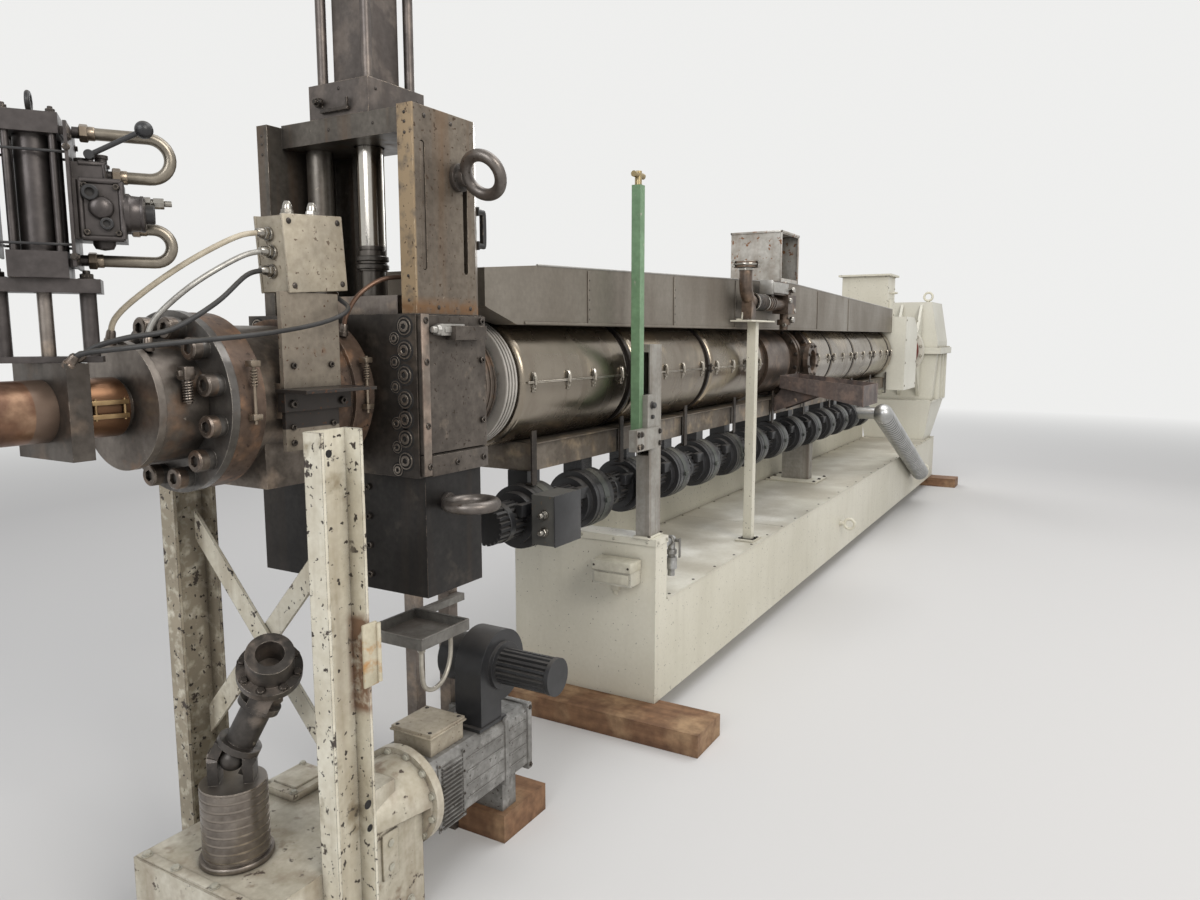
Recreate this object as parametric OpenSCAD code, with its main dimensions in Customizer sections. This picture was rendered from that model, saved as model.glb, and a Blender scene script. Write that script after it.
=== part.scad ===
// Single-screw plastic extruder on its base frame, with a slide-plate screen changer,
// a discharge line with a gate valve, and a small pump drive on a stand.
// X runs along the barrel from the discharge end to the gearbox, -Y is the operator's side,
// Z is up from the floor. The origin is on the floor under the near end of the base frame.

/* [Barrel] */
// Height of the barrel axis above the floor
axis_z = 1404; // [1300:1:1600]
// Radius of the bare barrel
barrel_r = 140; // [120:1:170]
// Radius of the polished barrel covers
cover_r = 222; // [212:1:230]
// Sheet thickness of the covers
cover_t = 5; // [3:0.5:8]
// Round of the cover ends
cover_round = 24; // [10:1:40]
// Length of each long cover in front of the vent
near_cover_len = 715; // [600:5:725]
// Length of each cover behind the vent
far_cover_len = 590; // [500:5:600]
// Gap between two covers, filled by a strap
strap_w = 28; // [16:1:40]
// Length of the barrel from the screen changer to the feed housing
barrel_len = 6500; // [6300:10:6540]
// Radius of the bare vent section
vent_r = 178; // [160:1:195]

/* [Base] */
// Length of the base frame past the face of the gearbox
base_tail = 410; // [300:10:600]
// Width of the base frame
base_w = 672; // [600:2:760]
// Height of the deck above the floor
deck_z = 500; // [460:1:540]
// Thickness of the deck plates
deck_t = 6; // [4:1:10]
// Height of the timber sleepers
sleeper_h = 88; // [70:1:110]
// Width of a sleeper along the machine
sleeper_w = 220; // [150:1:260]
// Length of a sleeper across the machine
sleeper_len = 1200; // [1000:10:1400]
// Length of the raised box at the near end
end_box_len = 104; // [90:1:140]
// Top of the raised box
end_box_top = 760; // [700:1:800]
// Height of the folded lid edge
lid_h = 28; // [15:1:40]
// Width of the raised rail along the back
rail_w = 36; // [30:1:38]
// Top of the raised rail
rail_top = 735; // [650:1:745]

/* [Cooling] */
// Half width of the air boxes under the barrel
plenum_half = 160; // [140:1:180]
// Underside of the air boxes
plenum_z = 1100; // [1090:1:1120]
// Number of barrel blowers
blower_count = 14; // [6:1:14]
// Distance from one blower to the next
blower_pitch = 356; // [330:1:356]
// Radius of a blower drum
drum_r = 110; // [100:1:112]
// Length of a blower drum
drum_len = 100; // [80:1:120]
// Radius of a blower motor over its fins
motor_r = 64; // [54:1:70]
// Length of a blower motor
motor_len = 140; // [120:1:150]
// Half width of the exhaust hood
hood_half = 210; // [200:1:216]
// Sheet thickness of the hood, the chimney and the trough
sheet_t = 4; // [3:0.5:6]
// Top of the hood where the chimney stands
hood_top = 1858; // [1800:1:1900]

/* [Screen changer] */
// Length of the block along the barrel
block_len = 270; // [250:1:300]
// Width of the block across the barrel
block_w = 620; // [560:2:660]
// Underside of the block
block_z0 = 1190; // [1150:1:1200]
// Top of the block
block_z1 = 1607; // [1590:1:1640]
// Thickness of the slide plate
slide_t = 80; // [60:1:90]
// Width of the slide plate
slide_w = 250; // [220:1:280]
// Running gap between the slide plate and its guides
slide_gap = 5; // [5:0.5:8]
// Stroke of the slide plate
slide_stroke = 240; // [100:1:240]
// Top of the yoke
yoke_top = 2130; // [2110:1:2160]
// Thickness of the yoke beam
beam_h = 62; // [50:1:70]
// Radius of the piston rod
rod_r = 36; // [30:1:38]
// Side of the square cylinder heads
head_w = 216; // [204:1:230]
// Height of a cylinder head
head_h = 88; // [70:1:100]
// Side of the square cylinder body
tube_w = 133; // [120:1:133]
// Length of the cylinder body
tube_len = 560; // [450:10:620]

/* [Discharge line] */
// Radius of the large bolt flange
bolt_flange_r = 204; // [195:1:215]
// Radius of the turned neck in front of it
neck_r = 128; // [115:1:135]
// Width and height of the gate valve body
valve_w = 190; // [170:1:200]
// Length of the gate valve body
valve_len = 44; // [42:1:60]
// Radius of the outlet pipe
outlet_r = 62; // [55:1:66]
// Radius of the bore of the outlet pipe
outlet_bore = 30; // [20:1:35]
// Stroke of the gate
gate_stroke = 60; // [40:1:65]
// Turn of the valve cylinder about its own axis
valve_turn = -35; // [-45:1:0]

/* [Stand] */
// Height of the drive base
drive_base_h = 300; // [280:1:320]
// Depth of a stand channel along the machine
post_web = 124; // [100:1:140]
// Width of the channel flanges
post_flange = 55; // [45:1:65]
// Half distance between the stand channels
post_y = 300; // [270:1:318]
// Side of the square drive motor
motor_w = 210; // [190:1:220]
// Length of the drive motor
motor_body_len = 460; // [400:10:500]

/* [Hidden] */
$fn = 48;

seat = 0.3;

cream = [0.80, 0.78, 0.70];
stainless = [0.58, 0.56, 0.52];
steel = [0.42, 0.40, 0.38];
gunmetal = [0.27, 0.25, 0.24];
black = [0.10, 0.10, 0.11];
rust = [0.42, 0.29, 0.20];
galvanised = [0.66, 0.67, 0.67];
timber = [0.50, 0.33, 0.20];

// Places along the barrel
block_x0 = -1320;
block_x1 = block_x0 + block_len;
changer_x = block_x1 - 92;
near_x = block_x1 + 320;
near_starts = [near_x, near_x + near_cover_len + 60, near_x + 2 * (near_cover_len + 60)];
vent_x0 = near_starts[2] + near_cover_len + 35;
vent_x1 = 2540;
mouth_x = 2345;
far_pitch = far_cover_len + strap_w;
far_x = vent_x1 + 10;
short_len = 368;
barrel_x1 = block_x1 + barrel_len;
feed_x = barrel_x1 - 508;
feed_len = 558;
coupling_x1 = barrel_x1 + 790;
gearbox_x = coupling_x1 + 60;
base_len = gearbox_x + base_tail;
far_first = far_x + short_len + strap_w;
far_count = floor((feed_x - 142 - far_first) / far_pitch + 0.01);
far_starts = [for (k = [0 : far_count - 1]) far_first + k * far_pitch];
last_x = far_first + far_count * far_pitch;

// Covers as pairs of start and length
cover_list = concat([for (x = near_starts) [x, near_cover_len]], [[far_x, short_len]],
                    [for (x = far_starts) [x, far_cover_len]], [[last_x, feed_x - last_x]]);

// The hood's lower edge lies beside the covers and its floor is cut round them
hood_z = axis_z + 183;
hood_x0 = -903;
hood_x1 = feed_x;

// Blower line
blower_y = -130;
blower_z = plenum_z - 42 - drum_r;
blower_x = -520;

// A bar along X from x0 to x1, round about the line y, z
module rod_x(x0, x1, r, y = 0, z = axis_z) {
    translate([x0, y, z]) rotate([0, 90, 0]) cylinder(h = x1 - x0, r = r);
}

// A bar along Y from y0 to y1
module rod_y(y0, y1, r, x, z) {
    translate([x, y1, z]) rotate([90, 0, 0]) cylinder(h = y1 - y0, r = r);
}

// A bar along Z from z0 to z1
module rod_z(z0, z1, r, x, y) {
    translate([x, y, z0]) cylinder(h = z1 - z0, r = r);
}

// A block given by its lowest and highest corner
module block(a, b) {
    translate(a) cube([b[0] - a[0], b[1] - a[1], b[2] - a[2]]);
}

// A ring with its axis along Z
module ring(big, small) {
    rotate_extrude($fn = 32) translate([big, 0]) circle(r = small, $fn = 16);
}

// Outline of a finned motor body, as a star of square fins
function fin_points(r, depth, count) = [
    for (k = [0 : count - 1])
        for (c = [[0.03, r - depth], [0.28, r], [0.72, r], [0.97, r - depth]])
            c[1] * [cos((k + c[0]) * 360 / count), sin((k + c[0]) * 360 / count)]
];

module finned_x(x0, x1, r, y, z, depth = 9, count = 20) {
    translate([x0, y, z]) rotate([0, 90, 0])
        linear_extrude(height = x1 - x0) polygon(fin_points(r, depth, count));
}

module sleepers() {
    color(timber) {
        block([45 - sleeper_w, -sleeper_len / 2, 0], [45, sleeper_len / 2, sleeper_h]);
        block([base_len - 10 - sleeper_w, -sleeper_len / 2, 0],
              [base_len - 10, sleeper_len / 2, sleeper_h]);
        // Packing under the far end of the pump's motor
        block([motor_x1 - 140, drive_y - 100, 0], [motor_x1 + 90, -leg_y - 50, 90]);
    }
}

module base_frame() {
    half = base_w / 2;
    frame_top = deck_z - deck_t;
    color(cream) {
        block([0, -half, sleeper_h], [base_len, half, frame_top]);
        block([0, -half, frame_top], [end_box_len, half, end_box_top - lid_h]);
        block([-4, -half - 4, end_box_top - lid_h], [end_box_len + 4, half + 4, end_box_top]);
        block([end_box_len, half - rail_w, frame_top], [gearbox_x - 60, half, rail_top]);
    }
}

module deck_plates() {
    joints = [end_box_len + 4, 1630, 3220, 4810, base_len];
    color(cream)
        for (k = [0 : len(joints) - 2])
            block([joints[k] + 1.5, -base_w / 2 - 3, deck_z - deck_t],
                  [joints[k + 1] - 1.5, base_w / 2 - rail_w - 1, deck_z]);
}

// Eye in the XY plane with its shank along +Y, and a collar where the shank ends
module eye(big, small, shank_r, shank) {
    ring(big, small);
    rotate([-90, 0, 0]) translate([0, 0, big]) cylinder(h = shank - big, r = shank_r);
    rotate([-90, 0, 0]) translate([0, 0, shank - 12]) cylinder(h = 12, r = shank_r * 1.5);
}

module lifting_eyes() {
    reach = 66;
    color(cream)
        for (x = [2870, 5780]) {
            translate([x, -base_w / 2 - reach, 285]) rotate([0, 90, 0]) eye(34, 10, 12, reach);
            translate([x, base_w / 2 + reach, 285]) rotate([0, 90, 180]) eye(34, 10, 12, reach);
        }
    color(cream)
        translate([gearbox_x + 500, -200, 1900 + 66]) rotate([-90, 0, 90]) eye(42, 12, 14, 66);
}

// The big eye on the yoke's side plate and the one under the block
module changer_eyes() {
    color(gunmetal)
        translate([changer_x, -block_w / 2 - 82, 1960]) rotate([0, 60, 0]) eye(52, 16, 24, 82);
    color(gunmetal)
        translate([changer_x - 75, -block_w / 2 - 82, 1115]) eye(62, 16, 16, 82);
}

module barrel() {
    color(steel)
        rod_x(block_x1 + 50, barrel_x1, barrel_r);
}

module barrel_flange() {
    color(steel) difference() {
        union() {
            rod_x(block_x1, block_x1 + 50, 205);
            rod_x(block_x1 + 50, block_x1 + 272, band_r);
            for (k = [0 : 3])
                rod_x(block_x1 + 250 + 16 * k, block_x1 + 262 + 16 * k, 206);
            rod_x(block_x1 + 262, near_x, 196);
        }
        rod_x(block_x1 + 50, near_x + 5, barrel_r + seat);
    }
}

module vent_section() {
    color(rust) difference() {
        union() {
            rod_x(near_starts[2] + near_cover_len, vent_x1 + 10, vent_r);
            rod_x(1700, 2090, vent_r + 20);
            for (x = [2190, 2246, 2440, 2486])
                rod_x(x, x + 32, vent_r + 38);
            // Vent mouth toward the operator
            rod_y(-262, 0, 86, mouth_x, axis_z);
            rod_y(-262, -232, 108, mouth_x, axis_z);
        }
        rod_x(near_starts[2], vent_x1 + 20, barrel_r + seat);
        rod_y(-272, -barrel_r - 12, 65, mouth_x, axis_z);
        for (k = [0 : 7])
            translate([mouth_x, -272, axis_z]) rotate([0, 45 * k + 22.5, 0])
                translate([0, 0, 96]) rotate([-90, 0, 0]) cylinder(h = 60, r = 6);
    }
}

module cover_straps() {
    ends = concat([near_starts[0] + near_cover_len, near_starts[1] + near_cover_len],
                  [far_x + short_len], [for (x = far_starts) x + far_cover_len]);
    starts = concat([near_starts[1], near_starts[2]], far_starts, [last_x]);
    color(gunmetal)
        for (k = [0 : len(ends) - 1])
            difference() {
                union() {
                    rod_x(ends[k], starts[k], cover_r - 12);
                    rod_x((ends[k] + starts[k]) / 2 - 9, (ends[k] + starts[k]) / 2 + 9, cover_r);
                }
                rod_x(ends[k] - 5, starts[k] + 5, barrel_r + seat);
            }
}

// One closed cover shell round the barrel, with round ends
module cover_shell(x0, x1) {
    translate([x0, 0, axis_z]) rotate([0, 90, 0]) rotate_extrude($fn = 96) difference() {
        cover_outline(x1 - x0, cover_r, cover_round, 0);
        translate([0, cover_t])
            cover_outline(x1 - x0 - 2 * cover_t, cover_r - cover_t, cover_round - cover_t, -1);
    }
}

module cover_outline(l, r, round_r, inset) {
    inner = barrel_r + seat + inset;
    union() {
        translate([inner, 0]) square([r - round_r - inner, l]);
        translate([inner, round_r]) square([r - inner, l - 2 * round_r]);
        translate([r - round_r, round_r]) circle(r = round_r);
        translate([r - round_r, l - round_r]) circle(r = round_r);
    }
}

module cover_row(side) {
    tall = cover_r + 10;
    z0 = side > 0 ? axis_z + seat / 2 : axis_z - tall;
    for (c = cover_list)
        intersection() {
            cover_shell(c[0], c[0] + c[1]);
            block([c[0] - 5, -tall, z0], [c[0] + c[1] + 5, tall, z0 + tall - seat / 2]);
        }
}

module upper_covers() {
    color(stainless) cover_row(1);
}

module lower_covers() {
    color(stainless) cover_row(-1);
}

plenum_x0 = -600;
plenum_top = axis_z - 209;
plenum_pitch = 615;
plenum_count = floor((feed_x - plenum_x0 + 15) / plenum_pitch + 0.01);
blowers = min(blower_count, 1 + floor((plenum_x0 + plenum_count * plenum_pitch - blower_x) / blower_pitch));

module plenums() {
    color(stainless)
        difference() {
            union() {
                for (k = [0 : plenum_count - 1]) {
                    x0 = plenum_x0 + k * plenum_pitch;
                    block([x0, -plenum_half, plenum_z],
                          [x0 + plenum_pitch - 15, plenum_half, plenum_top]);
                    block([x0, -plenum_half - 14, plenum_top - 4],
                          [x0 + plenum_pitch - 15, plenum_half + 14, plenum_top]);
                }
            }
            rod_x(plenum_x0 - 5, feed_x + 5, cover_r + seat);
        }
}

module plenum_hangers() {
    color(rust)
        for (k = [0 : plenum_count])
            for (s = [-1, 1]) {
                x = plenum_x0 + k * plenum_pitch - 7.5;
                y = s * (plenum_half + 14.3);
                block([x - 14, min(y, y + s * 6), plenum_z - 44],
                      [x + 14, max(y, y + s * 6), axis_z - 165]);
                block([x - 14, min(y - s * 20, y), plenum_z - 44],
                      [x + 14, max(y - s * 20, y), plenum_z - 39]);
            }
}

module blower_drums() {
    color([0.22, 0.25, 0.22])
        for (k = [0 : blowers - 1]) {
            x1 = blower_x + k * blower_pitch;
            union() {
                rod_x(x1 - drum_len, x1, drum_r, blower_y, blower_z);
                block([x1 - drum_len + 12, blower_y - 20, blower_z],
                      [x1 - 12, blower_y + 60, plenum_z]);
            }
        }
}

module blower_motors() {
    color(black)
        for (k = [0 : blowers - 1]) {
            x0 = blower_x + k * blower_pitch - drum_len;
            union() {
                rod_x(x0 - 22, x0, drum_r - 2, blower_y, blower_z);
                rod_x(x0 - 55, x0 - 22, drum_r - 22, blower_y, blower_z);
                finned_x(x0 - 55 - motor_len, x0 - 55, motor_r, blower_y, blower_z);
            }
        }
}

// Side outline of the hood, pulled in by t on its top, its ends and its floor
module hood_side(t) {
    polygon([[hood_x0 + t, hood_z + 53 + 1.4 * t], [hood_x0 + 14 + t, hood_z + 47 + t],
             [hood_x0 + 160, hood_z + t], [hood_x1 - t, hood_z + t],
             [hood_x1 - t, hood_top - 74 - t], [2029, hood_top - t],
             [-627, hood_top - 82 - t], [hood_x0 + t, hood_top - 106 - t]]);
}

module hood_prism(t) {
    half = hood_half - t;
    translate([0, half, 0]) rotate([90, 0, 0]) linear_extrude(height = 2 * half) hood_side(t);
}

chimney_x0 = 1838;
chimney_x1 = 2158;
chimney_y1 = 90;
chimney_top = 2138;

module exhaust_hood() {
    color(stainless) difference() {
        hood_prism(0);
        hood_prism(sheet_t);
        rod_x(hood_x0 - 5, hood_x1 + 5, cover_r + seat);
        block([chimney_x0 + 20, -hood_half + 20, hood_top - 60],
              [chimney_x1 - 20, chimney_y1 - 20, hood_top + 20]);
    }
}

module chimney() {
    t = sheet_t;
    color(galvanised) difference() {
        block([chimney_x0, -hood_half, hood_top - 40], [chimney_x1, chimney_y1, chimney_top]);
        translate([0, 0, seat]) hood_prism(0);
        block([chimney_x0 + t, -hood_half + t, hood_top - 60],
              [chimney_x1 - t, chimney_y1 - t, chimney_top - t]);
        block([chimney_x0 + 14, -hood_half - 10, hood_top + 20],
              [chimney_x1 - 14, -hood_half + 10, chimney_top - 14]);
    }
}

stand_x = 1240;
stand_y = -268;
stand_top = 1622;
stand_w = 45;

module vent_stand() {
    h = stand_w / 2;
    color(cream) {
        block([stand_x - 70, stand_y - 45, deck_z], [stand_x + 70, stand_y + 48, deck_z + 8]);
        block([stand_x - h, stand_y - h, deck_z + 8], [stand_x + h, stand_y + h, stand_top]);
        block([stand_x - 190, stand_y - 60, stand_top], [stand_x + 160, stand_y + 50, stand_top + 8]);
    }
}

module vent_line() {
    y = stand_y - 12;
    z = stand_top + 100;
    leg_x = stand_x - 150;
    color(rust) {
        // Upright leg with its flange, bend and level run along the barrel
        rod_z(z + 90, z + 160, 32, leg_x, y);
        rod_z(z + 160, z + 172, 60, leg_x, y);
        rod_z(z + 175, z + 187, 60, leg_x, y);
        rod_z(z + 160, z + 187, 40, leg_x, y);
        translate([leg_x + 90, y, z + 90]) rotate([90, 0, 0]) rotate([0, 0, 180])
            rotate_extrude(angle = 90) translate([90, 0]) circle(r = 32);
        rod_x(leg_x + 90, leg_x + 540, 30, y, z);
        for (k = [0 : 7])
            rod_x(leg_x + 120 + 34 * k, leg_x + 138 + 34 * k, 40, y, z);
        block([leg_x + 20, y - 26, stand_top + 8], [leg_x + 80, y + 26, z]);
    }
    // Valve stack at the end of the run
    color(gunmetal) {
        block([leg_x + 540, y - 44, z - 50], [leg_x + 680, y + 44, z + 50]);
        rod_z(z - 135, z + 90, 24, leg_x + 610, y);
        rod_z(z - 110, z - 80, 38, leg_x + 610, y);
        rod_z(z + 50, z + 70, 36, leg_x + 610, y);
        block([leg_x + 300, y - 32, z + 45], [leg_x + 560, y + 32, z + 115]);
        block([leg_x + 330, y - 20, z], [leg_x + 370, y + 20, z + 45]);
    }
}

trough_x0 = 1850;
trough_x1 = 2210;
trough_y0 = -690;
trough_y1 = -216;

// Open chute that slopes out from under the vent, narrowed by t and open at the top
module trough_side(t) {
    polygon([[trough_y0 + t, 1165 + t], [trough_y1 - t, 1258 + t],
             [trough_y1 - t, 1328 + 4 * t], [trough_y0 + t, 1280 + 4 * t]]);
}

module trough_prism(t) {
    translate([trough_x0 + t, 0, 0]) rotate([90, 0, 90])
        linear_extrude(height = trough_x1 - trough_x0 - 2 * t) trough_side(t);
}

module drip_trough() {
    reach = plenum_half;
    color(rust) difference() {
        union() {
            difference() {
                trough_prism(0);
                trough_prism(sheet_t);
            }
            // Gussets that carry the trough from the side of the air box
            for (x = [trough_x0 + 40, trough_x1 - 46])
                translate([x, 0, 0]) rotate([90, 0, 90]) linear_extrude(height = 6)
                    polygon([[-reach, plenum_z + 10], [-reach, plenum_top - 4],
                             [-reach - 14, plenum_top - 4], [-reach - 14, plenum_top + 2],
                             [trough_y1 - 4, 1257.5], [-430, 1216]]);
        }
        rod_x(trough_x0 - 5, trough_x1 + 5, vent_r + 38 + 2);
    }
}

duct_x = 3702;
duct_y = -base_w / 2 - 82;
duct_z = 975;
duct_r = 75;
duct_len = 1890;
duct_ribs = 40;

// Ribbed side line of the duct, closed along its axis
function duct_outline(r, l, ribs) = concat(
    [[0, 0]],
    [for (k = [0 : ribs - 1], c = [[0, r - 5], [0.35, r], [0.65, r]])
        [c[1], (k + c[0]) * l / ribs]],
    [[r - 5, l], [0, l]]);

module air_duct() {
    color(galvanised) {
        difference() {
            union() {
                rod_y(duct_y, blower_y - drum_r + 40, 45, duct_x, duct_z);
                translate([duct_x, duct_y, duct_z]) sphere(r = duct_r - 3);
            }
            rod_x(duct_x - 200, duct_x + 200, drum_r + seat, blower_y, blower_z);
        }
        translate([duct_x, duct_y, duct_z]) rotate([0, 111.3, 0]) difference() {
            rotate_extrude() polygon(duct_outline(duct_r, duct_len, duct_ribs));
            translate([0, 0, duct_len - 400]) cylinder(h = 500, r = duct_r - 9);
        }
    }
}

feed_half = 330;

module feed_housing() {
    color(cream) difference() {
        translate([0, feed_half, 0]) rotate([90, 0, 0]) linear_extrude(height = 2 * feed_half)
            polygon([[feed_x, 1080], [feed_x + feed_len, 1080], [feed_x + feed_len, 1620],
                     [feed_x + feed_len - 170, 1720], [feed_x, 1720]]);
        rod_x(feed_x - 5, feed_x + feed_len + 5, barrel_r + seat);
    }
}

module feed_box() {
    x0 = feed_x + 60;
    x1 = feed_x + 360;
    y0 = -150;
    y1 = 250;
    color(cream) difference() {
        union() {
            block([x0, y0, 1720], [x1, y1, 2080]);
            block([x0 - 30, y0 - 30, 2080], [x1 + 30, y1 + 30, 2096]);
            block([x1, y0 + 20, 1760], [x1 + 24, y1 - 20, 2040]);
        }
        block([x0 + 30, y0 + 30, 1760], [x1 - 30, y1 - 30, 2110]);
        for (x = [x0 - 12, x1 + 12])
            for (y = [y0 - 12, y1 + 12])
                rod_z(2070, 2110, 7, x, y);
    }
}

module drive_coupling() {
    x0 = feed_x + feed_len;
    color([0.36, 0.16, 0.12]) {
        rod_x(x0, coupling_x1, 200);
        for (x = [x0 + 60, x0 + 330, coupling_x1 - 60])
            rod_x(x, x + 40, 226);
    }
}

gearbox_x1 = gearbox_x + 820;
pedestal_top = 900;

// Triangular web between the round front and the casting, s is +1 above and -1 below
module front_web(y, s) {
    translate([0, y + 14, axis_z]) rotate([90, 0, 0]) linear_extrude(height = 28)
        polygon([[gearbox_x - 30, s * 120], [gearbox_x - 30, s * 190],
                 [gearbox_x + 180, s * 470], [gearbox_x + 180, s * 120]]);
}

module gearbox() {
    x0 = gearbox_x + 180;
    color(cream) union() {
        translate([x0, 0, 0]) rotate([90, 0, 90]) linear_extrude(height = gearbox_x1 - x0)
            polygon([[-330, pedestal_top], [330, pedestal_top], [362, 1350], [362, 1500],
                     [290, 1900], [-290, 1900], [-362, 1500], [-362, 1350]]);
        rod_x(coupling_x1, gearbox_x, 268);
        rod_x(gearbox_x, x0, 236);
        // Split flange at the shaft height
        block([x0 - 40, -402, axis_z - 32], [gearbox_x1 + 60, 402, axis_z + 32]);
        for (y = [-190, 0, 190]) {
            front_web(y, 1);
            front_web(y, -1);
        }
        // Ribs down the sides of the casting
        for (x = [x0 + 120, x0 + 320, x0 + 520])
            block([x - 12, -384, pedestal_top], [x + 12, 384, axis_z - 32]);
        // Input shaft at the back
        rod_x(gearbox_x1, gearbox_x1 + 30, 110, 0, 1150);
        rod_x(gearbox_x1 + 30, gearbox_x1 + 170, 45, 0, 1150);
    }
}

module gearbox_pedestal() {
    top = pedestal_top - 16;
    color(cream) {
        hull() {
            block([gearbox_x, -298, deck_z], [gearbox_x + 400, 298, deck_z + 1]);
            block([gearbox_x, -352, top - 1], [gearbox_x1 - 20, 352, top]);
        }
        block([gearbox_x, -365, top], [gearbox_x1, 365, pedestal_top]);
    }
}

leg_x = -937;
leg_y = 70;
leg_w = 42;
band_r = 172;
saddle_z = axis_z - band_r - 8;

// Plate pedestal under the middle of the barrel
module barrel_pedestal() {
    color(galvanised) {
        block([3130, -60, deck_z], [3370, 240, deck_z + 12]);
        block([3200, -10, deck_z + 12], [3290, 190, plenum_z]);
    }
}

// Black legs under the near end of the barrel
module barrel_supports() {
    h = leg_w / 2;
    color(black) difference() {
        union() {
            for (s = [-1, 1]) {
                block([leg_x - 50, s * leg_y - 50, 0], [leg_x + 50, s * leg_y + 50, 12]);
                block([leg_x - h, s * leg_y - h, 12], [leg_x + h, s * leg_y + h, saddle_z]);
            }
            block([leg_x - 9, -leg_y - 60, saddle_z], [leg_x + 9, leg_y + 60, saddle_z + 70]);
            block([leg_x - h, -leg_y - 60, saddle_z - 20], [leg_x + h, leg_y + 60, saddle_z]);
        }
        rod_x(leg_x - 100, leg_x + 100, band_r + seat);
    }
}

module screen_block() {
    slot_w = slide_w + 2 * slide_gap;
    slot_t = slide_t + 2 * slide_gap;
    color(gunmetal) difference() {
        block([block_x0, -block_w / 2, block_z0], [block_x1, block_w / 2, block_z1]);
        block([changer_x - slot_t / 2, -slot_w / 2, block_z0 - 10],
              [changer_x + slot_t / 2, slot_w / 2, block_z1 + 10]);
    }
}

module block_cover() {
    y = -block_w / 2;
    color(gunmetal) {
        block([block_x0 + 6, y - 14, block_z0 + 62], [block_x1 - 6, y, block_z1 - 4]);
        block([block_x0 + 6, y - 10, block_z0 + 4], [block_x1 - 6, y, block_z0 + 58]);
        block([block_x0 + 95, y - 50, block_z1 - 66], [block_x0 + 225, y - 14, block_z1 - 30]);
    }
}

guide_z0 = 870;
guide_x0 = block_x0 + 20;
guide_x1 = block_x1 - 20;

module lower_guide() {
    slot_w = slide_w + 2 * slide_gap;
    slot_t = slide_t + 2 * slide_gap;
    color(black) difference() {
        block([guide_x0, -block_w / 2, guide_z0], [guide_x1, block_w / 2, block_z0]);
        block([changer_x - slot_t / 2, -slot_w / 2, guide_z0 + 20],
              [changer_x + slot_t / 2, slot_w / 2, block_z0 + 10]);
    }
}

beam_z0 = yoke_top - beam_h;

module yoke_frame() {
    side = slide_w / 2 + slide_gap;
    x0 = changer_x - head_w / 2;
    x1 = changer_x + head_w / 2;
    color(gunmetal) difference() {
        union() {
            block([x0, -262, beam_z0], [x1, 222, yoke_top]);
            block([x0 - 50, 222, block_z1], [x1, 263, yoke_top - 6]);
            // Round column, flat bar and back plates
            rod_z(block_z1, beam_z0, 36, changer_x - 20, side + 42);
            block([changer_x + slide_t / 2 + 14, side - 70, block_z1],
                  [changer_x + slide_t / 2 + 24, side - 10, beam_z0]);
            block([x1 - 22, 40, block_z1], [x1 - 8, 222, beam_z0]);
            block([x1 - 22, -262, block_z1], [x1 - 8, -60, beam_z0]);
        }
        rod_z(beam_z0 - 10, yoke_top + 10, rod_r + 6, changer_x, 0);
        // The back plates and bars stand clear of the slide head's coupling
        rod_z(block_z1 - 10, beam_z0, rod_r + 12, changer_x, 0);
    }
}

// Slot with round ends, cut h deep from y0 toward +Y
module long_slot(x, y0, z0, z1, r, h) {
    hull() {
        rod_y(y0, y0 + h, r, x, z0 + r);
        rod_y(y0, y0 + h, r, x, z1 - r);
    }
}

module yoke_side_plate() {
    y0 = -block_w / 2;
    y1 = -262;
    x0 = block_x0 + 5;
    x1 = block_x1 + 30;
    top = yoke_top - 16;
    color(steel) difference() {
        union() {
            translate([0, 0, block_z1]) linear_extrude(height = top - block_z1)
                polygon([[x0, y0], [x1 - 55, y0], [x1, y0 + 36], [x1, y1], [x0, y1]]);
            // Handle on the far edge
            for (z = [block_z1 + 188, block_z1 + 278])
                block([x1, y0 + 34, z], [x1 + 36, y0 + 46, z + 12]);
            block([x1 + 26, y0 + 34, block_z1 + 188], [x1 + 38, y0 + 46, block_z1 + 290]);
        }
        long_slot(x0 + 35, y0 - 5, block_z1 + 108, top - 84, 9, 60);
        long_slot(x1 - 95, y0 - 5, block_z1 + 106, top - 128, 9, 70);
    }
}

head_z = yoke_top;
cap_z = head_z + head_h + tube_len;
tie_at = head_w / 2 - 27;

module cylinder_heads() {
    h = head_w / 2;
    color(gunmetal) difference() {
        union() {
            block([changer_x - h, -h, head_z], [changer_x + h, h, head_z + head_h]);
            block([changer_x - h, -h, cap_z], [changer_x + h, h, cap_z + head_h]);
            for (sx = [-1, 1])
                for (sy = [-1, 1])
                    rod_z(head_z + head_h, cap_z, 14, changer_x + sx * tie_at, sy * tie_at);
        }
        rod_z(head_z - 10, head_z + head_h + 10, rod_r + 6, changer_x, 0);
    }
}

module cylinder_body() {
    h = tube_w / 2;
    c = 12;
    color(gunmetal) difference() {
        translate([changer_x, 0, head_z + head_h]) linear_extrude(height = tube_len)
            polygon([[-h, -h + c], [-h + c, -h], [h - c, -h], [h, -h + c],
                     [h, h - c], [h - c, h], [-h + c, h], [-h, h - c]]);
        rod_z(head_z + head_h - 10, cap_z - 20, bore_r, changer_x, 0);
    }
}

slide_top = block_z1 + 55;
coupling_top = 1790;
bore_r = rod_r + 12;
rod_top = head_z + head_h + tube_len - slide_stroke - 60;

module piston_rod() {
    color([0.75, 0.75, 0.74]) union() {
        rod_z(coupling_top, rod_top, rod_r, changer_x, 0);
        rod_z(rod_top - 50, rod_top, bore_r - seat, changer_x, 0);
        for (k = [0 : 2])
            rod_z(coupling_top - 18 - 20 * k, coupling_top - 4 - 20 * k, rod_r + 4, changer_x, 0);
        rod_z(slide_top, coupling_top, rod_r - 2, changer_x, 0);
    }
}

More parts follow.
